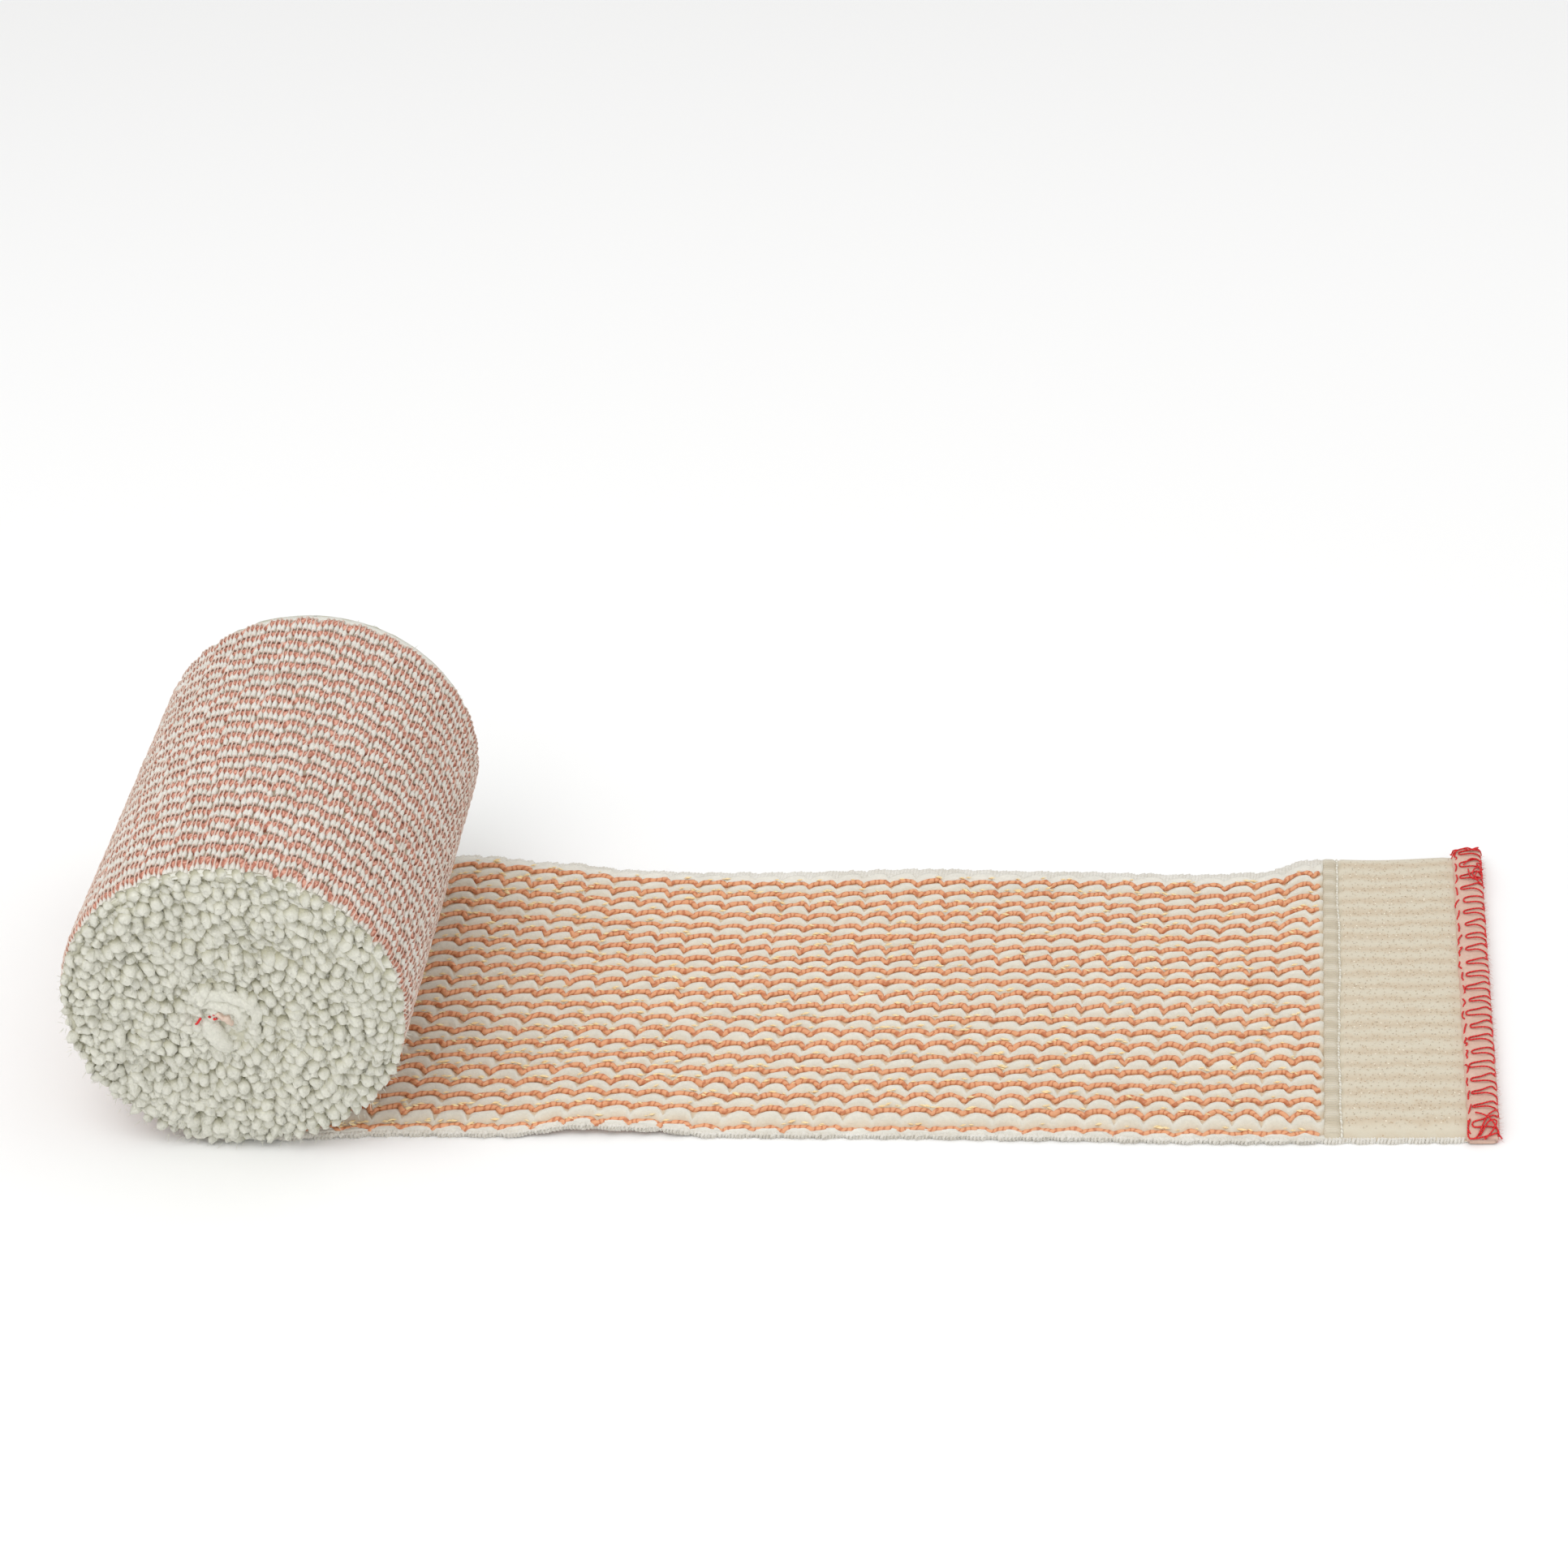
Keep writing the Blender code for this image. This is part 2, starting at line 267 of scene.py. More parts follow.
def on_strip(along, share, height, face):
    """Points above a face of the strip. Shares run from -1 at the near edge to 1 at the far edge."""
    along, share, height = np.broadcast_arrays(np.asarray(along, float), share, height)
    outer, inward, thickness, across, near, far, curls = strip_lines(along)
    reach = np.where(share < 0, near, far)
    curl = np.where(share < 0, curls[..., 0], curls[..., 1]) * np.clip(np.abs(share), 0, 1.1) ** 4
    from_edge = (1 - np.abs(share)) * reach
    outermost = smooth((along + outer_turn_length) / edge_round_start)
    rounded = edge_round * (1 - smooth(from_edge / edge_round_width)) * outermost
    drooping = smooth(along / tail_leaving) * (share < 0)
    if face == "outer":
        depth = rounded * (1 - 0.8 * drooping) - height
    else:
        depth = np.maximum(thickness + height - rounded * (0.6 + 0.8 * drooping), thinnest_edge)
    points = outer + across * (reach * share)[..., None] + inward * depth[..., None]
    points[..., 2] += curl
    return points


def row_wander(along, row):
    """How the scallops' beat drifts along the strip and from row to row."""
    bend = 0.07 * np.sin(row * 0.9 + 1.0) + 0.8 * smooth((row_count - 12 - row) / 6.0)
    slow = 0.10 * np.sin(along * 60 + row * 0.25) + 0.30 * np.sin(along * 23 + row * 0.10 + 2.0)
    return bend + slow


def scallop(along, row):
    """The scalloped course of an elastic row, as a length across the strip."""
    beat = along / scallop_length + row_wander(along, row)
    part = beat - np.floor(beat)
    arch = np.sin(math.pi * part) ** np.where(along < 0, 0.8, 0.6)
    slope = smooth(part / 0.10) * (0.40 + 0.60 * np.clip(part / 0.80, 0, 1)) * smooth((1 - part) / 0.22)
    sloped = np.clip(0.45 + 0.45 * np.sin(row * 1.3 + along * 19) + 0.02 * row, 0, 1)
    strength = 0.74 + 0.22 * np.sin(row * 1.7 + along * 31) + 0.12 * np.sin(row * 2.9 - along * 71)
    fade = 1.12 - 0.12 * smooth((along + 0.012) / 0.05)
    return scallop_reach * strength * fade * (arch + (slope - arch) * sloped - 0.6)


def row_share(along, row):
    """Where a row, or a place between two rows, lies across the strip."""
    nearest = roll_row_near + (row_near - roll_row_near) * smooth((along + 0.02) / 0.04)
    farthest = roll_row_far + (row_far - roll_row_far) * smooth((along - 0.03) / 0.08)
    straight = nearest + (farthest - nearest) * row / (row_count - 1)
    edge_calm = smooth((1.0 - np.abs(straight)) / 0.10)
    return straight + scallop(along, row) / (strip_width / 2) * (0.38 + 0.62 * edge_calm)


def grid_faces(rows, columns, first=0, closed=False):
    """Quads of a grid, with its last column joined to its first where it is closed."""
    index = first + np.arange(rows * columns).reshape(rows, columns)
    if closed:
        index = np.concatenate((index, index[:, :1]), axis=1)
    return np.stack((index[:-1, :-1], index[:-1, 1:], index[1:, 1:], index[1:, :-1]), -1).reshape(-1, 4)


def set_corner_map(piece, name, values):
    """Stores a value pair of each point as a UV map."""
    mesh = piece.data
    corner_points = np.zeros(len(mesh.loops), dtype=np.int32)
    mesh.loops.foreach_get("vertex_index", corner_points)
    layer = mesh.uv_layers.new(name=name)
    layer.uv.foreach_set("vector", values[corner_points].astype(np.float32).ravel())


def set_fact(piece, name, values):
    """Stores a number of each point."""
    layer = piece.data.attributes.new(name, "FLOAT", "POINT")
    layer.data.foreach_set("value", np.asarray(values, dtype=np.float32).ravel())


def wobble(seed, shape, smoothing):
    """Smooth noise from -1 to 1 along the last axis, the same each run."""
    raw = np.random.default_rng(seed).uniform(-1, 1, shape)
    kernel = np.hanning(smoothing + 2)[1:-1]
    kernel /= math.sqrt(np.sum(kernel ** 2))
    return np.apply_along_axis(lambda line: np.convolve(line, kernel, "same"), -1, raw)


def skirted(points, skirt):
    """A grid of points whose outermost lines are taken from its skirt."""
    points[[0, -1]] = skirt[[0, -1]]
    points[:, [0, -1]] = skirt[:, [0, -1]]
    return points


def maths(tree, operation, *values):
    """The result of one operation on values and sockets."""
    return put(tree, "ShaderNodeMath", dict(enumerate(values)), operation=operation).outputs["Value"]


def mixed(tree, share, first, second):
    """The blend of two colours."""
    colours = {"Factor": share, "A": first, "B": second}
    return put(tree, "ShaderNodeMix", colours, data_type="RGBA").outputs["Result"]


def mark_of(tree, name):
    """A number that is stored on the points."""
    return put(tree, "ShaderNodeAttribute", attribute_name=name).outputs["Fac"]


def course_of(tree):
    """The stored place along the strip and row across it."""
    course = put(tree, "ShaderNodeUVMap", uv_map="course")
    split = put(tree, "ShaderNodeSeparateXYZ", {"Vector": course.outputs["UV"]})
    return split.outputs["X"], split.outputs["Y"]


def ramp_of(tree, level, stops):
    """The colour of a level, on a ramp with these places and colours."""
    ramp = put(tree, "ShaderNodeValToRGB", {"Fac": level})
    elements = ramp.color_ramp.elements
    while len(elements) < len(stops):
        elements.new(0.5)
    for element, (position, colour) in zip(elements, stops):
        element.position = position
        element.color = (*colour, 1)
    return ramp.outputs["Color"]


def new_tree(name, kind, inputs, outputs):
    """A node group with these sockets, and the sockets of its two end nodes."""
    tree = bpy.data.node_groups.new(name, kind)
    for way, sockets in (("INPUT", inputs), ("OUTPUT", outputs)):
        for socket, value_kind in sockets.items():
            tree.interface.new_socket(socket, in_out=way, socket_type=f"NodeSocket{value_kind}")
    return tree, tree.nodes.new("NodeGroupInput").outputs, tree.nodes.new("NodeGroupOutput").inputs


def cotton_fibres():
    """Group for spun cotton: mottles a colour between two tones and raises short fibres."""
    tree, given, result = new_tree(
        "cotton_fibres", "ShaderNodeTree",
        {"Light": "Color", "Dark": "Color", "Scale": "Float", "Depth": "Float"},
        {"Color": "Color", "Normal": "Vector"})
    place = put(tree, "ShaderNodeTexCoord").outputs["Object"]
    fine_grain = {"Vector": place, "Scale": given["Scale"], "Detail": 5, "Roughness": 0.65,
                  "Distortion": 0.6}
    fine = put(tree, "ShaderNodeTexNoise", fine_grain).outputs["Fac"]
    broad = put(tree, "ShaderNodeTexNoise", {"Vector": place, "Scale": 160}).outputs["Fac"]
    both = maths(tree, "MULTIPLY_ADD", broad, 0.6, fine)
    tone = put(tree, "ShaderNodeMapRange", {"Value": both, "From Min": 0.60, "From Max": 1.10})
    relief = put(tree, "ShaderNodeBump", {"Height": fine, "Distance": given["Depth"], "Strength": 0.7})
    tree.links.new(mixed(tree, tone.outputs["Result"], given["Dark"], given["Light"]), result["Color"])
    tree.links.new(relief.outputs["Normal"], result["Normal"])
    return tree


cotton = cotton_fibres()


def cotton_finish(name, light, dark, scale=1500, depth=0.0002):
    """A material of spun cotton in two tones, with its mottling already joined on."""
    material, tree, shader = finish_of(name, light, 0.95)
    shader.inputs["Sheen Weight"].default_value = 0.15
    shader.inputs["Specular IOR Level"].default_value = 0.2
    tones = {"Light": (*light, 1), "Dark": (*dark, 1), "Scale": scale, "Depth": depth}
    fibres = put(tree, "ShaderNodeGroup", tones, node_tree=cotton)
    tree.links.new(fibres.outputs["Color"], shader.inputs["Base Color"])
    tree.links.new(fibres.outputs["Normal"], shader.inputs["Normal"])
    return material, tree, shader, fibres


def colour_fibres(tree, fibres, colour, dimming=None):
    """Gives the cotton's light tone this colour, and its dark tone the same one, dimmed."""
    dark = colour
    if dimming:
        dark = put(tree, "ShaderNodeHueSaturation", {"Color": colour, "Value": dimming}).outputs["Color"]
    tree.links.new(colour, fibres.inputs["Light"])
    tree.links.new(dark, fibres.inputs["Dark"])


white_cotton = (0.85, 0.84, 0.80)
shaded_cotton = (0.56, 0.53, 0.42)
cream = (0.72, 0.67, 0.56)
ground_beige = (0.42, 0.34, 0.25)
# painted shade: the near-black brown of the slots between the weft bars on the roll
slot_shade_brown = (0.22, 0.07, 0.035)
selvage_cotton = (0.78, 0.77, 0.69)
orange_light = (0.78, 0.37, 0.19)
# darker orange of the cords' ticks: painted shade in the grooves between the plies
orange_groove_shade = (0.56, 0.19, 0.08)
# Under the roll's weft the strip is painted dark: near-black painted shade at each row, where the slots
# between the weft bars are, and a dark beige between the rows.
under_weft_shade = ((0.0, slot_shade_brown), (0.20, slot_shade_brown), (0.34, ground_beige), (0.5, ground_beige))
under_tail = ((0.10, (0.70, 0.36, 0.24)), (0.18, (0.72, 0.42, 0.30)), (0.26, (0.78, 0.75, 0.68)),
              (0.50, (0.80, 0.78, 0.72)))

body_finish, tree, shader, fibres = cotton_finish("cotton_body", cream, shaded_cotton)
# On the roll the strip below the weft carries that painted slot shade; the tail's underside shows its rows
# as painted stripes.
from_row = maths(tree, "PINGPONG", course_of(tree)[1], 0.5)
bared = mixed(tree, mark_of(tree, "bare"), ramp_of(tree, from_row, under_weft_shade),
              ramp_of(tree, from_row, under_tail))
colour_fibres(tree, fibres, mixed(tree, mark_of(tree, "edge"), bared, (*selvage_cotton, 1)))

inner_step = 0.0050
outer_step = 0.0022
inner_face_depth = 0.0006
strip_end = tail_length - 0.0008
inner_count = math.ceil((wound_length - outer_turn_length) / inner_step)
outer_count = math.ceil((outer_turn_length + tail_length) / outer_step)
inner_places = np.linspace(-wound_length, -outer_turn_length, inner_count)
fine_places = np.linspace(-outer_turn_length, strip_end, outer_count)[1:]
body_places = np.concatenate((inner_places, fine_places))
across_rows = np.arange(-0.5, row_count - 0.5 + 0.001, 0.5)
across_rows = np.sort(np.append(across_rows, (-0.28, row_count - 0.72)))
body_along, body_row = np.meshgrid(body_places, across_rows, indexing="ij")
body_share = row_share(body_along, body_row)
body_share[:, 0] = -1
body_share[:, -1] = 1
body_share = np.clip(body_share, -1, 1)
outer_side = on_strip(body_along, body_share, 0.0, "outer")
inner_side = on_strip(body_along, body_share, -inner_face_depth, "inner")
rings = np.concatenate((outer_side, inner_side[:, ::-1]), axis=1)
body_faces = grid_faces(len(body_places), rings.shape[1], closed=True)
body_course = np.stack((body_along, body_row), -1)
body_map = np.concatenate((body_course, body_course[:, ::-1]), 1)
end_rings = np.arange(rings.shape[1])
half_ring = rings.shape[1] // 2
caps = []
for first, turned in ((0, False), ((len(body_places) - 1) * rings.shape[1], True)):
    near_side = first + end_rings[:half_ring]
    far_side = first + end_rings[half_ring:][::-1]
    quads = np.stack((near_side[:-1], far_side[:-1], far_side[1:], near_side[1:]), -1)
    caps.append(quads[:, ::-1] if turned else quads)
body = mesh_piece("strip_body", rings.reshape(-1, 3), np.concatenate((body_faces, *caps)), body_finish)
set_corner_map(body, "course", body_map.reshape(-1, 2))
ring_rows = np.concatenate((across_rows, across_rows[::-1]))
inner_turns = (body_places < -outer_turn_length - 0.002)[:, None]
at_edge = (np.abs(ring_rows - (row_count - 1) / 2) > (row_count - 1) / 2 + 0.25)[None] | inner_turns
set_fact(body, "edge", at_edge)
set_fact(body, "bare", np.broadcast_to(body_places[:, None] > 0.002, rings.shape[:2]))
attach(body, "root")
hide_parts("elastic_strip")

# Tail's inner face
# Between the elastic rows the cotton is gathered into soft cream pads, one to each scallop. Each pad
# stands on the far side of its row and ends in a crisp arc. Its colour is painted light on the crest and
# the arc, and painted shade in the tan hollow beyond the arc.
pad_height = 0.00062
hollow_height = 0.00018
pad_sides = 8
face_step = 0.0007
face_start = 0.003
face_end = tail_length - panel_length + 0.0012
face_places = np.linspace(face_start, face_end, math.ceil((face_end - face_start) / face_step))
face_skirt = 0.0012
face_rows = np.arange(-0.75, row_count - 0.25 + 1e-6, 1 / pad_sides)
face_along, face_row = np.meshgrid(face_places, face_rows, indexing="ij")
edge_part = np.clip(-face_row / 0.75, 0, 1)
face_share = row_share(face_along, np.maximum(face_row, 0)) * (1 - edge_part) - edge_part
part_row = face_row - np.floor(face_row)
beat = face_along / scallop_length + row_wander(face_along, face_row)
part_beat = beat - np.floor(beat)
crown = np.sin(math.pi * part_beat) ** 0.45
arc_place = 0.56 + 0.32 * crown + 0.04 * wobble(4, face_along.T.shape, 5).T
in_pad = np.clip(part_row / arc_place, 0, 1)
pad = np.sin(math.pi * in_pad ** 1.6) ** 0.55
edge_pad = (face_row > row_count - 1) | (face_row < 0)
pad = np.where(edge_pad, 0.85 + 0.15 * pad, pad)
lump = 1 + 0.20 * wobble(3, face_along.T.shape, 4).T
face_height = pad_height * pad * (0.55 + 0.45 * crown) * lump + hollow_height
face_points = skirted(on_strip(face_along, face_share, face_height, "inner"),
                      on_strip(face_along, face_share, -face_skirt, "inner"))
# The pad's level of painted light: high on its crest and arc, low in the hollow beyond.
crest = np.where(edge_pad, 0.8, pad * (0.45 + 0.55 * in_pad ** 2)) * (0.80 + 0.20 * crown)
face_finish, tree, shader, fibres = cotton_finish("cotton_pads", cream, shaded_cotton, 1300, 0.00025)
# Tan painted shade in the hollows, through cream, to a near white painted highlight on the crests.
pad_light_and_shade = ((0.0, (0.74, 0.60, 0.43)), (0.22, (0.75, 0.66, 0.52)), (0.50, (0.77, 0.72, 0.61)),
             (0.95, (0.87, 0.85, 0.78)))
colour_fibres(tree, fibres, ramp_of(tree, mark_of(tree, "crest"), pad_light_and_shade), 0.86)
face_piece = mesh_piece("tail_face", face_points.reshape(-1, 3),
                        grid_faces(len(face_places), len(face_rows))[:, ::-1], face_finish)
set_corner_map(face_piece, "course", np.stack((face_along, face_row), -1).reshape(-1, 2))
set_fact(face_piece, "crest", crest)
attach(face_piece, "root")

# Elastic rows
# Two plies of orange covered rubber, twisted together into a cord under a millimetre thick. On the tail
# they lie open on the inner face. On the roll the white weft crosses over them.
cord_thickness = 0.00056
cord_knots = 0.00125
cord_step = 0.00048
cord_rise = 0.00040
cord_sides = 5
roll_cord_step = 0.0011
roll_cord_thickness = 0.00118
roll_cord_sides = 6
roll_cord_sunk = 0.00064
thread_start = -outer_turn_length + 0.006
thread_end = -0.004


def frayed_end(tree, given, result, instances, grain):
    """Ends a node tree: its instances made real, frayed by a fine noise and given their finish."""
    real = put(tree, "GeometryNodeRealizeInstances", {"Geometry": instances})
    noise = put(tree, "ShaderNodeTexNoise", {"Scale": grain, "Detail": 3}).outputs["Color"]
    centred = put(tree, "ShaderNodeVectorMath", {0: noise, 1: (0.5, 0.5, 0.5)}, operation="SUBTRACT")
    shift = put(tree, "ShaderNodeVectorMath", {0: centred.outputs["Vector"], "Scale": given["Fray"]},
                operation="SCALE")
    moved = put(tree, "GeometryNodeSetPosition",
                {"Geometry": real.outputs["Geometry"], "Offset": shift.outputs["Vector"]})
    dressed = put(tree, "GeometryNodeSetMaterial",
                  {"Geometry": moved.outputs["Geometry"], "Material": given["Finish"]})
    tree.links.new(dressed.outputs["Geometry"], result[0])
    return tree


def named_input(tree, name, kind):
    """The input of a node tree that is stored on the points."""
    return put(tree, "GeometryNodeInputNamedAttribute", {"Name": name}, data_type=kind).outputs["Attribute"]


def thread_tree():
    """Turns edge paths with a thickness at each point into closed round threads."""
    tree, given, result = new_tree(
        "thread_tubes", "GeometryNodeTree",
        {"Paths": "Geometry", "Sides": "Int", "Grain": "Float", "Fray": "Float", "Finish": "Material"},
        {"Threads": "Geometry"})
    to_curve = put(tree, "GeometryNodeMeshToCurve", {"Mesh": given["Paths"]})
    ring = put(tree, "GeometryNodeCurvePrimitiveCircle", {"Resolution": given["Sides"], "Radius": 1})
    ring_place = put(tree, "GeometryNodeInputPosition").outputs["Position"]
    marked = {"Geometry": ring.outputs["Curve"], "Name": "around", "Value": ring_place}
    ring_store = put(tree, "GeometryNodeStoreNamedAttribute", marked, data_type="FLOAT_VECTOR")
    tube = {"Curve": to_curve.outputs["Curve"], "Profile Curve": ring_store.outputs["Geometry"],
            "Scale": named_input(tree, "thick", "FLOAT"), "Fill Caps": True}
    sweep = put(tree, "GeometryNodeCurveToMesh", tube)
    return frayed_end(tree, given, result, sweep.outputs["Mesh"], given["Grain"])


thread_tubes = thread_tree()


def grown(name, points, edges, facts, tree, values):
    """A piece that a node tree grows from points and edges, as one plain mesh."""
    mesh = mesh_of(f"{name}_seed", points)
    if len(edges):
        mesh.edges.add(len(edges))
        mesh.edges.foreach_set("vertices", edges.ravel().astype(np.int32))
    for fact, numbers in facts.items():
        numbers = np.asarray(numbers, dtype=np.float32)
        kind, field = ("FLOAT_VECTOR", "vector") if numbers.ndim > 1 else ("FLOAT", "value")
        mesh.attributes.new(fact, kind, "POINT").data.foreach_set(field, numbers.ravel())
    mesh.update()
    seed = in_scene(f"{name}_seed", mesh)
    grow = seed.modifiers.new("grow", "NODES")
    grow.node_group = tree
    for socket in tree.interface.items_tree:
        if socket.name in values:
            grow[socket.identifier] = values[socket.name]
    graph = bpy.context.evaluated_depsgraph_get()
    result = bpy.data.meshes.new_from_object(seed.evaluated_get(graph), preserve_all_data_layers=True,
                                             depsgraph=graph)
    bpy.data.objects.remove(seed)
    result.name = name
    result.shade_smooth()
    return in_scene(name, result)


def thread_piece(name, paths, thick, sides, finish, facts=None, fray=0.0, grain=2500.0):
    """Threads of equal point counts: paths is threads by points by 3."""
    threads, steps = paths.shape[:2]
    index = np.arange(threads * steps).reshape(threads, steps)
    edges = np.stack((index[:, :-1], index[:, 1:]), -1).reshape(-1, 2)
    stored = {"thick": np.broadcast_to(thick, (threads, steps)).ravel()}
    for fact, numbers in (facts or {}).items():
        stored[fact] = np.broadcast_to(numbers, (threads, steps)).ravel()
    values = {"Sides": sides, "Finish": finish, "Fray": fray, "Grain": grain}
    return grown(name, paths.reshape(-1, 3), edges, stored, thread_tubes, values)


cord_finish, tree, shader = finish_of("elastic_rows", orange_light, 0.55)


def ply_finish(tree, shader, dark, light, pitch, tick=(0.25, 0.75)):
    """Diagonal light and dark ticks, where two plies twist round each other; the dark ticks are painted
    shade in the grooves between the plies.
    """
    around = put(tree, "ShaderNodeAttribute", attribute_name="around")
    parts = put(tree, "ShaderNodeSeparateXYZ", {"Vector": around.outputs["Vector"]})
    angle = maths(tree, "ARCTAN2", parts.outputs["Y"], parts.outputs["X"])
    beat = maths(tree, "MULTIPLY", mark_of(tree, "along"), math.tau / pitch)
    place = put(tree, "ShaderNodeTexCoord").outputs["Object"]
    noise = put(tree, "ShaderNodeTexNoise", {"Vector": place, "Scale": 0.5 / pitch})
    stirred = maths(tree, "MULTIPLY_ADD", noise.outputs["Fac"], 14.0, maths(tree, "ADD", angle, beat))
    level = put(tree, "ShaderNodeMapRange", {"Value": maths(tree, "SINE", stirred), "From Min": -1})
    ticks = ramp_of(tree, level.outputs["Result"], ((tick[0], dark), (tick[1], light)))
    tree.links.new(ticks, shader.inputs["Base Color"])


ply_finish(tree, shader, orange_groove_shade, orange_light, cord_knots, (0.05, 0.45))

rows = np.arange(row_count)[:, None]
cord_places = np.linspace(face_start, face_end - 0.0016, math.ceil((face_end - face_start) / cord_step))
cord_along = cord_places[None] + 0.0 * rows
cord_share = row_share(cord_along, rows) + 0.0045 * wobble(5, cord_along.shape, 5)
cord_lift = cord_rise + 0.00010 * wobble(6, cord_along.shape, 7)
cord_paths = on_strip(cord_along, cord_share, cord_lift, "inner")
knot = 1 + 0.05 * np.cos(math.tau * cord_along / (cord_knots * 1.9) + rows)
cord_thick = cord_thickness * knot * (1 + 0.22 * wobble(8, cord_along.shape, 3))
tail_cords = thread_piece("tail_rows", cord_paths, cord_thick, cord_sides, cord_finish,
                          {"along": cord_along})
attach(tail_cords, "root")

roll_cord_finish, tree, shader = finish_of("roll_rows", orange_light, 0.6)
# The roll's cords: their darker ticks are painted shade in the grooves between the plies.
ply_finish(tree, shader, (0.46, 0.17, 0.11), (0.74, 0.385, 0.285), 0.7 * cord_knots)
roll_places = np.linspace(thread_start, thread_end, math.ceil((thread_end - thread_start) / roll_cord_step))
roll_along = roll_places[None] + 0.0 * rows
roll_lift = 0.00006 * wobble(7, roll_along.shape, 5) - roll_cord_sunk
roll_paths = on_strip(roll_along, row_share(roll_along, rows), roll_lift, "outer")
roll_cords = thread_piece("roll_rows", roll_paths, roll_cord_thickness, roll_cord_sides, roll_cord_finish,
                          {"along": roll_along})
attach(roll_cords, "root")

# White weft on the roll
# Soft cotton threads run across the strip about a millimetre apart. They puff up between the elastic
# rows and cross each row as thin bars, with small slots between them; the slots' darkness is painted
# shade on the strip beneath.
weft_pitch = 0.00105
weft_puff = 0.00055
weft_bar = 0.00014
weft_sides = 5
weft_fray = 0.00022
weft_stops = np.array((0.0, 0.22, 0.34, 0.5, 0.66, 0.78))
weft_count = math.floor((thread_end - thread_start) / weft_pitch)
weft_rows = (np.arange(-1, row_count)[:, None] + weft_stops).ravel()
weft_rows = weft_rows[(weft_rows > -0.55) & (weft_rows < row_count - 0.55)]
weft_index, weft_row = np.meshgrid(np.arange(weft_count), weft_rows, indexing="ij")
weft_along = thread_start + (weft_index + 0.5) * weft_pitch + 0.00020 * wobble(11, weft_index.shape, 9)
weft_beat = weft_along / scallop_length + row_wander(weft_along, weft_row)
at_cusp = 1 - np.abs(2 * (weft_beat - np.floor(weft_beat)) - 1) ** 2
from_row = 0.5 - np.abs(weft_row - np.floor(weft_row) - 0.5)
lobe = smooth((from_row - 0.235 + 0.05 * (1 - at_cusp)) / 0.10)
plump = 1 + 0.20 * wobble(12, weft_index.shape, 3)
calm = smooth(-weft_along / 0.02)
weft_thick = (weft_bar + (weft_puff - weft_bar) * lobe) * plump
weft_height = (0.00060 - 0.00056 * lobe + 0.00010 * wobble(13, weft_index.shape, 3)) * (0.3 + 0.7 * calm)
weft_share = np.clip(row_share(weft_along, weft_row), -0.99, 0.99)
weft_paths = on_strip(weft_along, weft_share, weft_height, "outer")
weft_finish, tree, shader, fibres = cotton_finish("white_weft", white_cotton, (0.68, 0.64, 0.56),
                                                  1500, 0.00015)
weft_tones = (
    # tone of the cotton, its colour between the rows and its colour where a thread crosses a row
    ("Light", (0.83, 0.81, 0.76), (0.80, 0.65, 0.56)),
    ("Dark", (0.67, 0.63, 0.55), (0.62, 0.46, 0.38)),
)
for socket, plain, crossing in weft_tones:
    bar_tone = ramp_of(tree, mark_of(tree, "bar"), ((0.2, plain), (0.9, crossing)))
    tree.links.new(bar_tone, fibres.inputs[socket])
halves = {"weft_near_side": slice(0, weft_count // 2), "weft_far_side": slice(weft_count // 2, weft_count)}
for name, part in halves.items():
    bar_share = 1 - lobe[part]
    weft = thread_piece(name, weft_paths[part], weft_thick[part], weft_sides, weft_finish,
                        {"bar": bar_share}, fray=weft_fray)
    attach(weft, "root")

# Tufted ends of the roll
# The weft turns back at the strip's edges in small soft loops. Wound up, they close into rings of white
# tufts, which lean over one another like the strands of a rope and cover both ends of the roll. Each
# tuft is painted olive as shade at its root and white at its tip, and the ground they stand on is
# painted olive shade as well.
tuft_bands = (
    # first turn of each band and its tufts in one turn, half a tuft over so that neighbours interlock
    (0.0, 76.5),
    (4.5, 46.5),
    (8.0, 23.5),
)
tuft_lean = (0.38, 0, -0.42)
fuzz_per_tuft = 8
fuzz_start = 0.0009
fuzz_length = 0.0011
fuzz_thickness = 0.00006
fuzz_sides = 3
# the fuzz's level on the tufts' ramp of painted shade and light, near its light end
fuzz_light_level = 0.85
tuft_length = 0.0038
tuft_width = 0.0027
tuft_fray = 0.0017
tuft_grain = 1000
tuft_sides = 8
tuft_levels = (
    # shift along as a share of the spacing, place through the turn as a share of it, depth of the root, size
    (0.0, 0.50, 0.0015, 1.00),
    (0.5, 1.00, 0.0019, 0.88),
)
tuft_shape = (
    # place along the tuft and its half width there, as shares
    (0.00, 0.00),
    (0.06, 0.44),
    (0.35, 0.53),
    (0.65, 0.50),
    (0.90, 0.33),
    (1.00, 0.00),
)


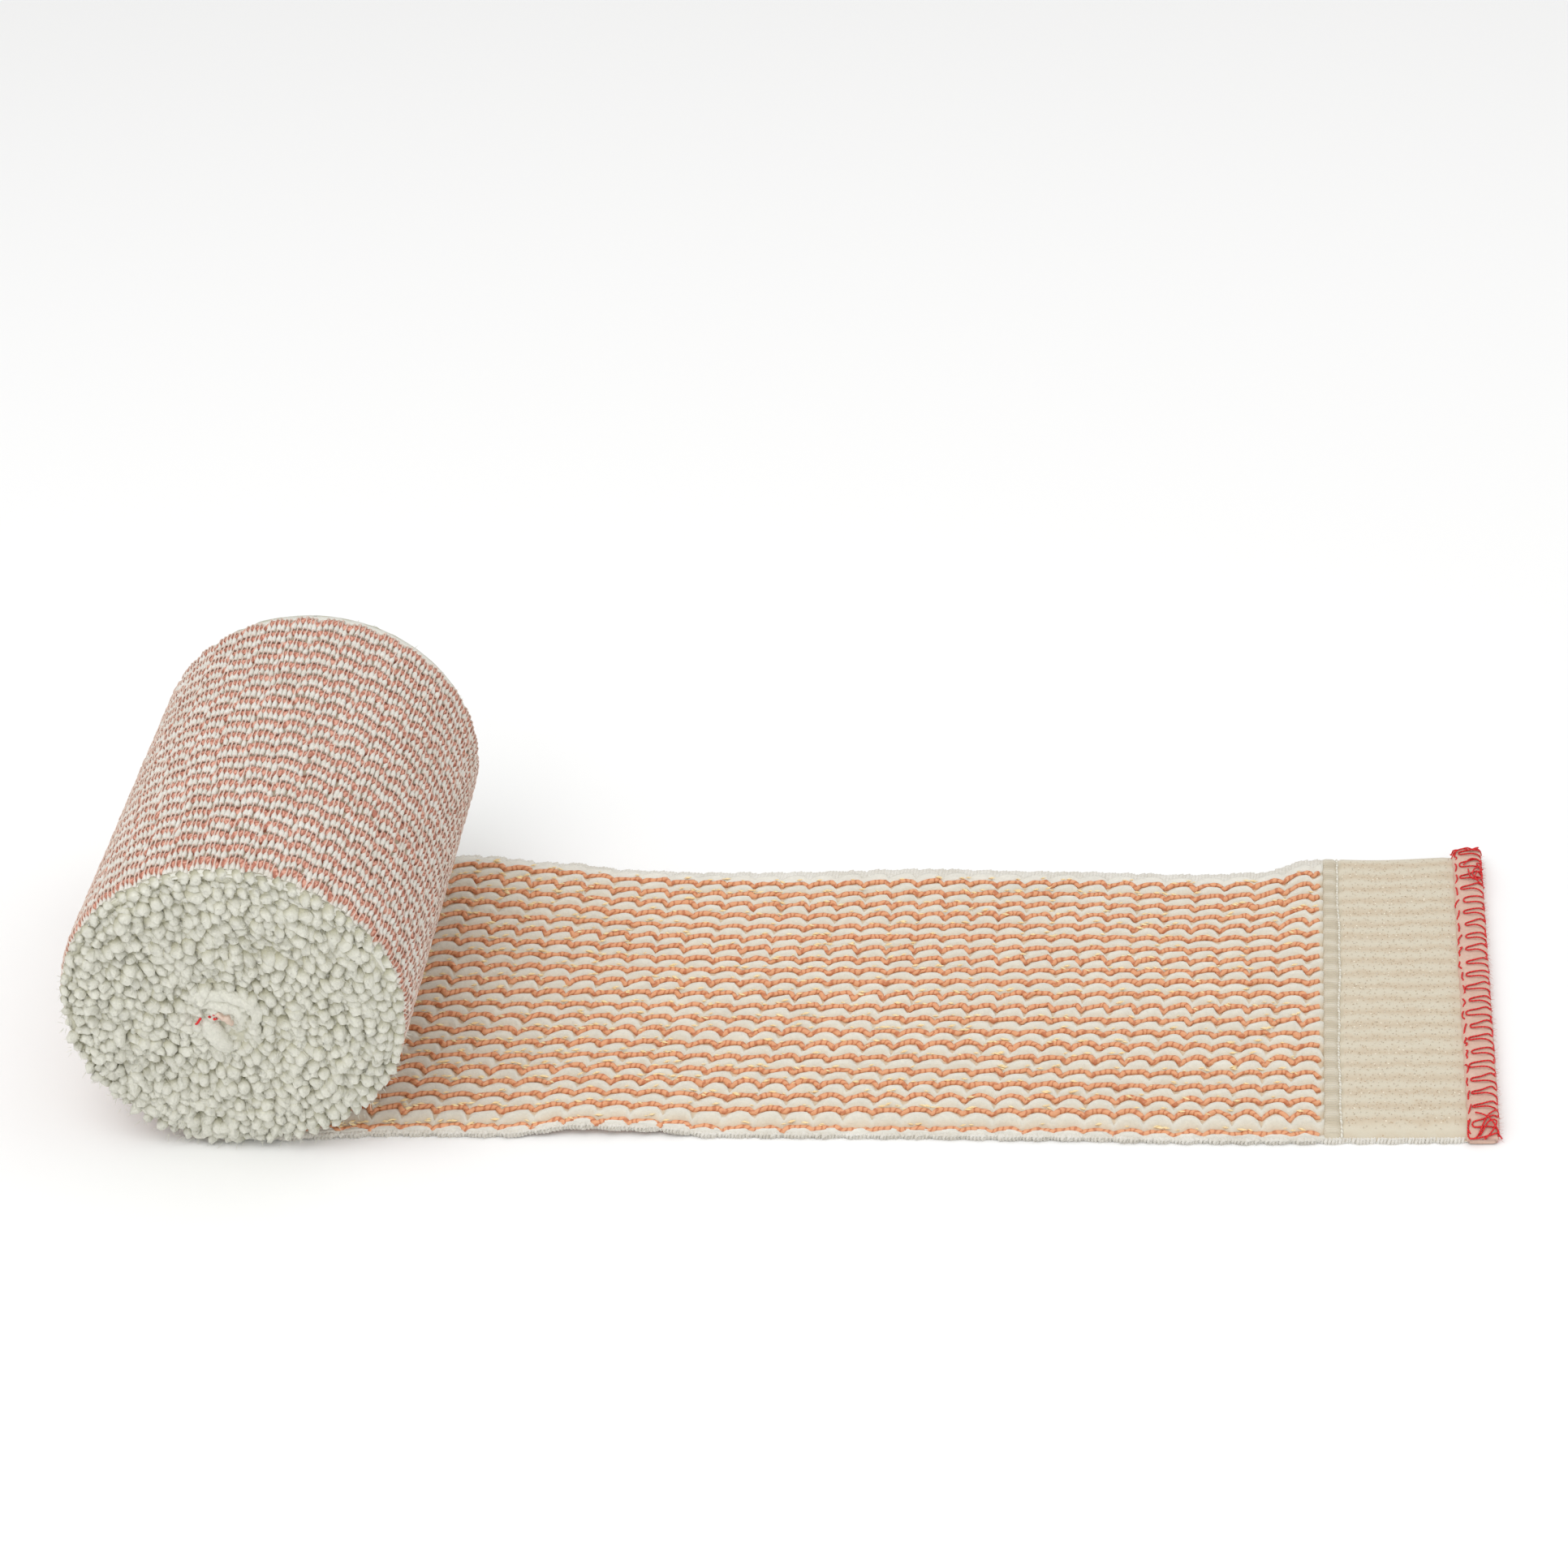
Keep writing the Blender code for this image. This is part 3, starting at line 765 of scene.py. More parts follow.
def tuft_tree():
    """Stands a tuft on each point, along the point's lean and at its size."""
    tree, given, result = new_tree(
        "tufts", "GeometryNodeTree",
        {"Points": "Geometry", "Tuft": "Object", "Seed": "Int", "Fray": "Float", "Finish": "Material"},
        {"Tufts": "Geometry"})
    model = put(tree, "GeometryNodeObjectInfo", {"Object": given["Tuft"]})
    any_turn = {"Min": (0, 0, 0), "Max": (0, 0, math.tau), "Seed": given["Seed"]}
    spin = put(tree, "FunctionNodeRandomValue", any_turn, data_type="FLOAT_VECTOR")
    spun = put(tree, "FunctionNodeEulerToRotation", {"Euler": spin.outputs["Value"]})
    lean = named_input(tree, "lean", "FLOAT_VECTOR")
    stand = put(tree, "FunctionNodeAlignRotationToVector", {"Vector": lean}, axis="Z")
    both = {"Rotation": stand.outputs["Rotation"], "Rotate By": spun.outputs["Rotation"]}
    turn = put(tree, "FunctionNodeRotateRotation", both, rotation_space="LOCAL")
    standing = {"Points": given["Points"], "Instance": model.outputs["Geometry"],
                "Rotation": turn.outputs["Rotation"], "Scale": named_input(tree, "size", "FLOAT_VECTOR")}
    place = put(tree, "GeometryNodeInstanceOnPoints", standing)
    return frayed_end(tree, given, result, place.outputs["Instances"], tuft_grain)


def tuft_model():
    """A soft leaf shape, one unit long, that starts at its own origin and bends over at its tip."""
    ring, wide = (np.array(column)[:, None] for column in zip(*tuft_shape))
    side = np.arange(tuft_sides)[None] * math.tau / tuft_sides
    points = np.stack((wide * np.cos(side) + 0.22 * ring ** 2, 0.8 * wide * np.sin(side),
                       ring + 0 * side), -1)
    return points.reshape(-1, 3), grid_faces(len(tuft_shape), tuft_sides, closed=True)[:, ::-1]


tuft_finish, tree, shader, fibres = cotton_finish("tuft_cotton", white_cotton, shaded_cotton, 1900, 0.00060)
# Tuft colour by its level: olive painted shade at the root up to white at the tip.
tuft_shade_tones = ((0.10, (0.45, 0.43, 0.30)), (0.42, (0.65, 0.63, 0.475)), (0.78, (0.865, 0.855, 0.75)))
colour_fibres(tree, fibres, ramp_of(tree, mark_of(tree, "tip"), tuft_shade_tones), 0.85)

ground_step = 0.0012
ground_courses = (
    # place through the turn as a share of it, height over the strip's edge, and tone of its painted shade
    (-0.20, -0.0010, 0.34),
    (0.10, -0.0004, 0.40),
    (0.50, 0.0000, 0.46),
    (0.90, -0.0004, 0.40),
    (1.20, -0.0010, 0.34),
)
disc_rings = (0.0001, 0.0030, 0.0062)
disc_sides = 16
# the level of painted shade on the disc round the core
disc_shade_level = 0.55
root_floor = 0.0018
core_rings = ((0.0040, 10), (0.0020, 5))
core_sunk = 0.0015

tuft_points, tuft_faces = tuft_model()
tuft = mesh_piece("tuft_model", tuft_points, tuft_faces, tuft_finish)
set_fact(tuft, "tip", tuft_points[:, 2])
tufts = tuft_tree()
core_middle = (core_low + core_high) / 2
roll_across = np.array((math.sin(roll_yaw), math.cos(roll_yaw), 0))
sideways = np.array((math.cos(roll_yaw), -math.sin(roll_yaw), 0))
upward = np.array((0, 0, 1.0))
band_ends = [first for first, count in tuft_bands[1:]] + [turn_count - 0.02]
bands = [np.arange(first, last, 1 / count) for (first, count), last in zip(tuft_bands, band_ends)]
tuft_steps = -np.interp(np.concatenate(bands), turn_table, wound_table)
tuft_gaps = np.gradient(-tuft_steps)


def spiral_tufts(side):
    """Roots, leans and sizes of the tufts along the strip's edge, at one end of the roll."""
    shift, through, sunk, scale = (np.repeat(column, len(tuft_steps)) for column in zip(*tuft_levels))
    spread = np.random.default_rng(20 + side).uniform(-1, 1, (len(shift), 6))
    steps, gaps = (np.tile(column, len(tuft_levels)) for column in (tuft_steps, tuft_gaps))
    places = np.minimum(steps + gaps * (shift + 0.10 * spread[:, 0]), -0.0005)
    outer, inward, thickness, across, near, far, curls = strip_lines(places)
    around = np.cross(inward, across)
    at_rim = smooth((places + outer_turn_length) / 0.004) * (through < 0.9)
    near_rim = np.clip(1 - (np.interp(-places, wound_table, turn_table) + through - 0.5) / 3, 0, 1)
    depth = (thickness + turn_gap) * (through + 0.12 * spread[:, 1])
    outward = side * (near - sunk + 0.0003 * spread[:, 2])
    roots = outer + inward * depth[:, None] + across * outward[:, None]
    roots = roots + inward * ((0.0004 + 0.0007 * side) * at_rim)[:, None]
    roots[:, 2] = np.maximum(roots[:, 2], root_floor)
    pressed = (1 + 0.35 * spread[:, 5]) * (1 - 0.6 * near_rim) * smooth((roots[:, 2] - 0.001) / 0.006)
    leans = across * side * (0.85 + 0.12 * spread[:, 3])[:, None]
    leans = leans + around * (0.15 + 0.15 * spread[:, 4] + 0.35 * near_rim)[:, None]
    leans = leans + pressed[:, None] * np.array(tuft_lean) + inward * (0.10 * side * at_rim)[:, None]
    sizes = np.tile((tuft_width, tuft_width, tuft_length), (len(places), 1))
    sizes *= (scale * (1 + 0.14 * spread[:, 1] - 0.20 * at_rim))[:, None]
    return roots, leans, sizes, scale


def core_tufts(side):
    """The same of the tufts that stand in rings round the core."""
    turns = np.concatenate([np.arange(count) / count for radius, count in core_rings])[:, None] * math.tau
    reach = np.concatenate([np.full(count, radius) for radius, count in core_rings])[:, None]
    spoke = np.cos(turns) * sideways + np.sin(turns) * upward
    swirl = -np.sin(turns) * sideways + np.cos(turns) * upward
    roots = core_middle + spoke * reach + roll_across * side * (roll_width / 2 - core_sunk)
    leans = 0.6 * roll_across * side + 0.8 * swirl - 0.3 * spoke
    return roots, leans, np.tile((tuft_width, tuft_width, 0.8 * tuft_length), (len(turns), 1))


def fuzz_of(roots, leans, seed):
    """Short fibres that burst out of tufts with these roots and leans."""
    shaggy = np.random.default_rng(seed)
    stem = leans / np.linalg.norm(leans, axis=1, keepdims=True)
    burst = shaggy.uniform(-1, 1, leans.shape)
    burst /= np.linalg.norm(burst, axis=1, keepdims=True)
    starts = roots + stem * tuft_length * shaggy.uniform(0.35, 0.95, (len(roots), 1)) + burst * fuzz_start
    reach_out = fuzz_length * shaggy.uniform(0.6, 1.2, (len(roots), 1))
    return np.stack((starts, starts + reach_out * (0.8 * burst + 0.5 * stem)), 1)


def tuft_ground(side):
    """Points, faces and tones of the soft surface that the tufts of one end stand on; its tones are painted
    shade, lighter on the outer turn.
    """
    depth_share, level, tone = (np.array(column)[None] for column in zip(*ground_courses))
    along = np.arange(-wound_length, 0, ground_step)[:, None]
    outer, inward, thickness, across, near, far, curls = strip_lines(along + 0 * level)
    lumps = 0.0004 * wobble(30 + side, (level.shape[1], len(along)), 2).T
    at_rim = smooth((along + outer_turn_length) / 0.006)
    depth = (thickness + turn_gap) * np.maximum(depth_share, 0.30 * at_rim - 0.2 * (1 - at_rim))
    spiral_points = outer + inward * depth[..., None] + across * (side * (near + level + lumps))[..., None]
    centre = core_middle + roll_across * side * (roll_width / 2 + 0.0002)
    turn = np.arange(disc_sides)[None, :, None] * math.tau / disc_sides
    spokes = np.cos(turn) * sideways + np.sin(turn) * upward
    disc_points = centre + np.array(disc_rings)[:, None, None] * spokes
    points = np.concatenate((spiral_points.reshape(-1, 3), disc_points.reshape(-1, 3)))
    first = spiral_points.shape[0] * spiral_points.shape[1]
    disc_faces = grid_faces(len(disc_rings), disc_sides, first=first, closed=True)
    faces = np.concatenate((grid_faces(*spiral_points.shape[:2]), disc_faces[:, ::-1]))
    tones = np.concatenate(((tone + 0.12 * at_rim).ravel(), np.full(len(points) - first, disc_shade_level)))
    return points, faces if side > 0 else faces[:, ::-1], tones


for name, side in (("near_tufts", -1), ("far_tufts", 1)):
    spiral_roots, spiral_leans, spiral_sizes, scale = spiral_tufts(side)
    core_roots, core_leans, core_sizes = core_tufts(side)
    roots = np.concatenate((spiral_roots, core_roots))
    facts = {"lean": np.concatenate((spiral_leans, core_leans)),
             "size": np.concatenate((spiral_sizes, core_sizes))}
    piece = grown(name, roots, (), facts, tufts,
                  {"Tuft": tuft, "Seed": 3, "Fray": tuft_fray, "Finish": tuft_finish})
    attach(piece, "root")

    picked = np.repeat(np.flatnonzero(scale > 0.9), fuzz_per_tuft)
    fuzz_paths = fuzz_of(spiral_roots[picked], spiral_leans[picked], 25 + side)
    fuzz = thread_piece(f"{name}_fuzz", fuzz_paths, fuzz_thickness * np.array((1.0, 0.4)), fuzz_sides,
                        tuft_finish, {"tip": fuzz_light_level})
    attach(fuzz, "root")

    ground_points, ground_faces, ground_shade_levels = tuft_ground(side)
    ground = mesh_piece(f"{name}_ground", ground_points, ground_faces, tuft_finish)
    set_fact(ground, "tip", ground_shade_levels)
    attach(ground, "root")
bpy.data.objects.remove(tuft)

# Stray fibres and painted glints on the tail
# Pale yellow flecks stand up along the far side of each elastic row, partly fibres of the rubber's
# covering and partly painted glints. Most of them are near the roll, where they also lighten the tail
# in the roll's shade.
fleck_count = 1800
fleck_thickness = 0.00044
fleck_length = 0.0014
fleck_ring = np.array((0, 0.5, 1))[:, None]
fleck_side = np.arange(4)[None] * math.tau / 4
fleck_wide = 0.5 * np.sin(math.pi * fleck_ring)
fleck_points = np.stack((fleck_wide * np.cos(fleck_side), fleck_wide * np.sin(fleck_side),
                         fleck_ring + 0 * fleck_side), -1).reshape(-1, 3)
fleck_faces = grid_faces(3, 4, closed=True)[:, ::-1]
# Bright pale yellow: partly the fibres' own colour, partly painted glint.
fleck_finish, tree, shader, fibres = cotton_finish("stray_fibres", (0.98, 0.84, 0.50), (0.90, 0.68, 0.36),
                                                   1500, 0.0001)
fleck = mesh_piece("fleck_model", fleck_points, fleck_faces, fleck_finish)
shake = np.random.default_rng(90).uniform(0, 1, (fleck_count, 6))
fleck_row = np.floor(shake[:, 0] * row_count)
fleck_along = face_start + (face_end - face_start - 0.003) * shake[:, 1] ** 2.0
fleck_share = row_share(fleck_along, fleck_row) + 0.009 + 0.007 * shake[:, 2]
fleck_roots = on_strip(fleck_along, fleck_share, cord_rise + 0.00042 + 0.0002 * shake[:, 3], "inner")
fleck_leans = np.stack((1 + 0 * fleck_along, shake[:, 4] - 0.5, 0.5 * shake[:, 5] - 0.2), -1)
fleck_sizes = np.outer(0.6 + 0.8 * shake[:, 3], (fleck_thickness, fleck_thickness, fleck_length))
flecks = grown("stray_fibres", fleck_roots, (), {"lean": fleck_leans, "size": fleck_sizes}, tufts,
               {"Tuft": fleck, "Seed": 5, "Fray": 0.0, "Finish": fleck_finish})
bpy.data.objects.remove(fleck)
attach(flecks, "root")

# Selvages of the tail
# At the tail's two long edges the white weft turns back in short plump loops, side by side.
loop_pitch = 0.00066
loop_thickness = 0.000638
loop_points = 8
loop_fray = 0.0004
loop_steps = np.arange(0.004, tail_length - 0.0065, loop_pitch)
selvages = (
    # name, side, the row beside it, step out from that row, farthest start of a loop, how late it falls
    ("near_selvage", -1, 0.0, 0.004, 0.982, 5),
    ("far_selvage", 1, row_count - 1.0, 0.018, 0.985, 3),
)
for name, side, row, step_out, farthest, late in selvages:
    spread = np.random.default_rng(40 + side).uniform(-1, 1, (len(loop_steps), 1))
    along = loop_steps[:, None] + 0.00012 * spread
    course = np.linspace(0, 1, loop_points)[None]
    inner_share = np.clip(row_share(along, row) * side + step_out, 0.90, farthest)
    beat = along / scallop_length + row_wander(along, row)
    rim_share = 0.990 + 0.016 * np.sin(math.pi * (beat - np.floor(beat))) ** 0.5 + 0.003 * spread
    under_tape = smooth((along - face_end) / 0.001)
    inner_share = inner_share + (0.975 - inner_share) * under_tape
    rim_share = rim_share - 0.002 * under_tape
    share = side * (inner_share + (rim_share - inner_share) * np.sin(course * math.pi / 2))
    lift = -0.00012 + 0.00010 * spread - 0.0009 * course ** late - 0.0003 * under_tape
    loops = on_strip(along + 0.0003 * course, share, lift, "inner")
    thick = loop_thickness * (0.75 + 0.35 * np.sin(math.pi * (0.15 + 0.7 * course)))
    piece = thread_piece(name, loops, thick, weft_sides, weft_finish, fray=loop_fray)
    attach(piece, "root")

# Hook tape
# A beige tape of fine plastic hooks lies over the last 33 mm of the tail. It is thin enough for the
# elastic rows to show through as faint tan bands, and it is ribbed between its inner edge and its seam.
tape_start = tail_length - panel_length + 0.0003
tape_end = tail_length - 0.0035
tape_top = 0.0011
tape_squeeze = 0.0002
tape_half_width = 0.0482
tape_skirt = 0.0003
seam_place = tail_length - panel_length + 0.0036
hook_pitch = 0.00125
hook_length = 0.00024
hook_thickness = 0.00013
ribs_per_row = 6


def seam_course(share):
    """The seam's place along the strip, as it wanders across the tape."""
    return seam_place + 0.00018 * np.sin(share * 5.0 + 0.6) + 0.00008 * np.sin(share * 17.0)


def tape_row(share):
    """The elastic row under a place across the tape."""
    return (share - row_near) / (row_far - row_near) * (row_count - 1)


def tape_height(along, share):
    """The tape's open face above the strip."""
    height = tape_top + 0.00003 * np.cos(math.tau * tape_row(share))
    height = height - tape_squeeze * smooth((along - tape_end + 0.0045) / 0.0020)
    height = height - 0.00045 * np.exp(-((along - seam_course(share)) / 0.00055) ** 2)
    height = height - 0.00050 * (1 - smooth((along - tape_start) / 0.0008))
    return height - 0.00045 * (1 - smooth((1 - np.abs(share)) / 0.016))


tape_light = (0.66, 0.58, 0.45)
tape_tan = (0.58, 0.45, 0.30)
tape_bands = ((0.02, (0.600, 0.500, 0.365)), (0.18, (0.628, 0.540, 0.405)), (0.34, (0.655, 0.587, 0.457)),
              (0.50, (0.665, 0.605, 0.477)))
tape_ribs = ((0.10, (0.565, 0.490, 0.360)), (0.24, (0.595, 0.520, 0.390)), (0.36, (0.650, 0.585, 0.455)),
             (0.50, (0.680, 0.620, 0.495)))
# Tan dots of the tape, and pale specks that are painted glints of the hooks.
tape_specks_and_glints = (
    # how fine the specks lie, their width as a share of that, and their colour
    (1300, 0.22, (0.50, 0.38, 0.25, 1)),
    (800, 0.14, (0.84, 0.77, 0.62, 1)),
)
tape_finish, tree, shader, fibres = cotton_finish("hook_tape", tape_light, tape_tan, 2600, 0.00008)
shader.inputs["Roughness"].default_value = 0.55
shader.inputs["Specular IOR Level"].default_value = 0.4
place = put(tree, "ShaderNodeTexCoord").outputs["Object"]
course_along, course_row = course_of(tree)
sway = put(tree, "ShaderNodeTexNoise", {"Vector": place, "Scale": 300, "Detail": 4}).outputs["Fac"]
band = maths(tree, "PINGPONG", maths(tree, "MULTIPLY_ADD", sway, 0.75, course_row), 0.5)
in_band = maths(tree, "LESS_THAN", band, 0.24)
past_seam = maths(tree, "GREATER_THAN", course_along, seam_place + 0.0008)
tape_tone = mixed(tree, past_seam, ramp_of(tree, band, tape_ribs), ramp_of(tree, band, tape_bands))
for scale, width, tint in tape_specks_and_glints:
    cells = put(tree, "ShaderNodeTexVoronoi", {"Vector": place, "Scale": scale})
    speck = maths(tree, "LESS_THAN", cells.outputs["Distance"], width)
    shown = maths(tree, "MULTIPLY", maths(tree, "MULTIPLY", speck, in_band), past_seam)
    tape_tone = mixed(tree, shown, tape_tone, tint)
colour_fibres(tree, fibres, tape_tone)
rib_wave = maths(tree, "SINE", maths(tree, "MULTIPLY", course_row, math.tau * ribs_per_row))
ribs = maths(tree, "MULTIPLY", rib_wave, maths(tree, "LESS_THAN", course_along, seam_place))
relief = {"Height": ribs, "Distance": 0.00007, "Normal": fibres.outputs["Normal"]}
tree.links.new(put(tree, "ShaderNodeBump", relief).outputs["Normal"], shader.inputs["Normal"])

tape_along, tape_share = np.meshgrid(np.linspace(tape_start, tape_end, 96), np.linspace(-0.997, 0.997, 110),
                                     indexing="ij")
tape_points = skirted(on_strip(tape_along, tape_share, tape_height(tape_along, tape_share), "inner"),
                      on_strip(tape_along, tape_share, -tape_skirt, "inner"))
tape_faces = grid_faces(*tape_along.shape)[:, ::-1]
tape = mesh_piece("hook_tape", tape_points.reshape(-1, 3), tape_faces, tape_finish)
set_corner_map(tape, "course", np.stack((tape_along, tape_row(tape_share)), -1).reshape(-1, 2))
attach(tape, "root")
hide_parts("hook_panel")

hook_ring = np.linspace(0, 1, 4)[:, None]
hook_side = np.arange(3)[None] * math.tau / 3
hook_points = np.stack((0.5 * np.cos(hook_side) + 2.2 * hook_ring ** 3,
                        0.5 * np.sin(hook_side) + 0 * hook_ring,
                        np.sin(hook_ring * 2.0) + 0 * hook_side), -1).reshape(-1, 3)
hook_tones = ((0.35, (0.66, 0.52, 0.36)), (0.65, (0.86, 0.80, 0.68)))
hook_finish, tree, shader = finish_of("moulded_hooks", (0.76, 0.68, 0.53), 0.30)
place = put(tree, "ShaderNodeTexCoord").outputs["Object"]
tone = put(tree, "ShaderNodeTexNoise", {"Vector": place, "Scale": 900})
tree.links.new(ramp_of(tree, tone.outputs["Fac"], hook_tones), shader.inputs["Base Color"])
hook = mesh_piece("hook_model", hook_points, grid_faces(4, 3, closed=True)[:, ::-1], hook_finish)
hook_along, hook_across = np.meshgrid(np.arange(seam_place + 0.0014, tape_end - 0.0024, hook_pitch),
                                      np.arange(-0.0460, 0.0460, hook_pitch), indexing="ij")
hook_shake = np.random.default_rng(50).uniform(-1, 1, (*hook_along.shape, 4))
every_other = (np.arange(len(hook_along)) % 2)[:, None]
hook_across = hook_across + hook_pitch * 0.5 * every_other + 0.0005 * hook_shake[..., 0]
hook_along = hook_along + 0.0005 * hook_shake[..., 1]
hook_share = hook_across / tape_half_width
hook_height = tape_height(hook_along, hook_share) - 0.00004
hook_roots = on_strip(hook_along, hook_share, hook_height, "inner").reshape(-1, 3)
hook_leans = np.concatenate((0.35 * hook_shake[..., 2:], np.ones((*hook_along.shape, 1))), -1).reshape(-1, 3)
hook_sizes = np.tile((hook_thickness, hook_thickness, hook_length), (len(hook_roots), 1))
hooks = grown("moulded_hooks", hook_roots, (), {"lean": hook_leans, "size": hook_sizes}, tufts,
              {"Tuft": hook, "Seed": 8, "Fray": 0.0, "Finish": hook_finish})
bpy.data.objects.remove(hook)
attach(hooks, "root")

# Panel seam
# One line of white lockstitch holds the tape near its inner edge. Each stitch sinks into the tape at
# both of its ends.
stitch_length = 0.0024
seam_thickness = 0.00029
seam_share = np.linspace(-0.994, 0.994, 400)[None]
seam_width = seam_share * tape_half_width
seam_beat = np.abs(np.sin(math.pi * seam_width / stitch_length))
seam_along = seam_course(seam_share) + 0.00006 * wobble(61, seam_share.shape, 9)
seam_lift = tape_height(seam_along, seam_share) + 0.00022 * seam_beat ** 0.6 - 0.00008
seam_path = on_strip(seam_along, seam_share, seam_lift, "inner")
seam_finish, tree, shader = finish_of("seam_thread", (0.72, 0.73, 0.71), 0.6)
# The seam thread's darker ticks are painted shade in the grooves between its plies.
ply_finish(tree, shader, (0.58, 0.53, 0.43), (0.76, 0.73, 0.64), 0.0009)
seam_thick = seam_thickness * (0.7 + 0.3 * seam_beat)
seam = thread_piece("seam_thread", seam_path, seam_thick, 7, seam_finish, {"along": seam_width})
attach(seam, "root")
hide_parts("panel_seam")

# End binding
# The cut end of strip and tape is wrapped by a soft pinkish edge of cloth, drawn up a little at each
# stitch of the red overlock thread.
binding_start = tail_length - 0.0059
binding_end = tail_length + 0.0002
binding_height = 0.0035
binding_stitches = 22
binding_sides = 24
binding_middle = (binding_start + binding_end) / 2
binding_half = (binding_end - binding_start) / 2


def on_binding(share, reach, level):
    """A point of the binding. Reach runs from -1 to 1 towards the cut end, level from the underside up."""
    share, reach, level = np.broadcast_arrays(share, reach, level)
    near_taper = 0.38 + 0.62 * smooth((share + 1.005) / 0.09)
    outer, inward, thickness, across, near, far, curls = strip_lines(binding_middle + binding_half * reach)
    points = outer + across * (np.where(share < 0, near, far) * share)[..., None]
    points[..., 2] += binding_height / 2 * (1 + level) * near_taper
    return points


binding_share, binding_turn = np.meshgrid(np.linspace(-1.012, 1.008, 7 * binding_stitches + 1),
                                          np.arange(binding_sides) * math.tau / binding_sides, indexing="ij")
pucker = 0.06 * np.cos(math.tau * (binding_share + 1) / 2 * binding_stitches)
pucker += 0.03 * wobble(71, binding_share.T.shape, 7).T
binding_reach = np.sign(np.cos(binding_turn)) * np.abs(np.cos(binding_turn)) ** 0.5
binding_level = np.sign(np.sin(binding_turn)) * np.abs(np.sin(binding_turn)) ** 0.6
closing = np.clip((1.012 - np.abs(binding_share)) / 0.025, 0, 1) ** 0.5
binding_points = on_binding(binding_share, binding_reach * (1 + 0.4 * pucker) * (0.85 + 0.15 * closing),
                            np.maximum(binding_level * (0.70 + 0.30 * closing) * (1 + pucker), -1))
binding_finish, tree, shader, fibres = cotton_finish("binding_cloth", (0.74, 0.53, 0.43), (0.63, 0.41, 0.32),
                                                     1300, 0.0003)
below = np.arange(binding_sides // 2 - 1)
above = binding_sides - 1 - below
cap_near = np.stack([below, below + 1, above - 1, above], -1)
cap_far = cap_near[:, ::-1] + (binding_share.shape[0] - 1) * binding_sides
binding_faces = np.concatenate((grid_faces(*binding_share.shape, closed=True), cap_near, cap_far))
binding = mesh_piece("end_binding", binding_points.reshape(-1, 3), binding_faces, binding_finish)
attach(binding, "root")
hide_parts("end_overlock")

# Overlock thread
# Red thread sews the binding over the edge. It runs in pairs of rungs that meet at the needle line and
# part at the cut edge, with loose loops and crossed ends at both corners.
red_thickness = 0.00017
core_thread_thickness = 0.00022
red_finish, tree, shader = finish_of("red_thread", (0.56, 0.010, 0.012), 0.5)
# The red thread's darker ticks are painted shade in the grooves between its plies.
ply_finish(tree, shader, (0.50, 0.003, 0.005), (0.80, 0.012, 0.014), 0.0006)


def flowing(stops, steps):
    """A soft line through the stops, with so many points to each span."""
    stops = np.asarray(stops, float)
    padded = np.concatenate((2 * stops[:1] - stops[1:2], stops, 2 * stops[-1:] - stops[-2:-1]))
    part = np.linspace(0, 1, steps, endpoint=False)[:, None]
    spans = []
    for before, here, after, beyond in zip(padded[:-3], padded[1:-2], padded[2:-1], padded[3:]):
        bow = 2 * before - 5 * here + 4 * after - beyond
        twist = 3 * here - before - 3 * after + beyond
        spans.append(0.5 * (2 * here + (after - before) * part + bow * part ** 2 + twist * part ** 3))
    return np.concatenate((*spans, stops[-1:]))


def sewn_path(line, side=1):
    """Thread on the binding. A line's rows are stitches from the far corner, reach and lift."""
    stitch, reach, lift = line.T
    share = 1.000 - 2.008 * stitch / binding_stitches
    inside = np.clip(np.abs(reach), 0, 1)
    level = side * (1 - inside ** 4) ** 0.3
    points = on_binding(share, reach, level)
    points[:, 2] += side * lift
    return points


def red_thread(name, path, thickness, sides):
    """One red thread along a path."""
    lengths = np.concatenate(([0], np.cumsum(np.linalg.norm(np.diff(path, axis=0), axis=1))))
    return thread_piece(name, path[None], thickness, sides, red_finish, {"along": lengths[None]})


def red_piece(name, path):
    """One red thread of the binding."""
    piece = red_thread(name, path, red_thickness, 5)
    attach(piece, "root")


for name, side, seed in (("rungs_above", 1, 81), ("rungs_below", -1, 82)):
    shake = np.random.default_rng(seed).uniform(-1, 1, (binding_stitches, 6))
    stops = []
    for number, (a, b, c, d, e, f) in enumerate(shake):
        meet = -0.50 + 0.14 * a
        stops += [
            (number + 0.10 + 0.10 * b, 0.94 + 0.05 * a, 0.0001),
            (number + 0.06 + 0.08 * c, 0.62, 0.0004),
            (number + 0.22 + 0.08 * d, 0.00, 0.0003),
            (number + 0.30 + 0.06 * d, meet, 0.0001),
            (number + 0.52 + 0.06 * e, meet + 0.06, 0.0002),
            (number + 0.54 + 0.08 * e, 0.30, 0.0004),
            (number + 0.58 + 0.08 * f, 0.96 + 0.06 * c, 0.0001),
            (number + 0.85 + 0.06 * f, 0.92 + 0.07 * d, 0.0001),
        ]
    red_piece(name, sewn_path(flowing(stops, 4), side))

shake = np.random.default_rng(83).uniform(-1, 1, (4 * binding_stitches, 2))
needle = [(number / 4, -0.82 + 0.13 * a, -0.00045 if number % 4 == 0 else 0.00015 + 0.0002 * b)
          for number, (a, b) in enumerate(shake)]
red_piece("needle_line", sewn_path(flowing(needle, 6)))

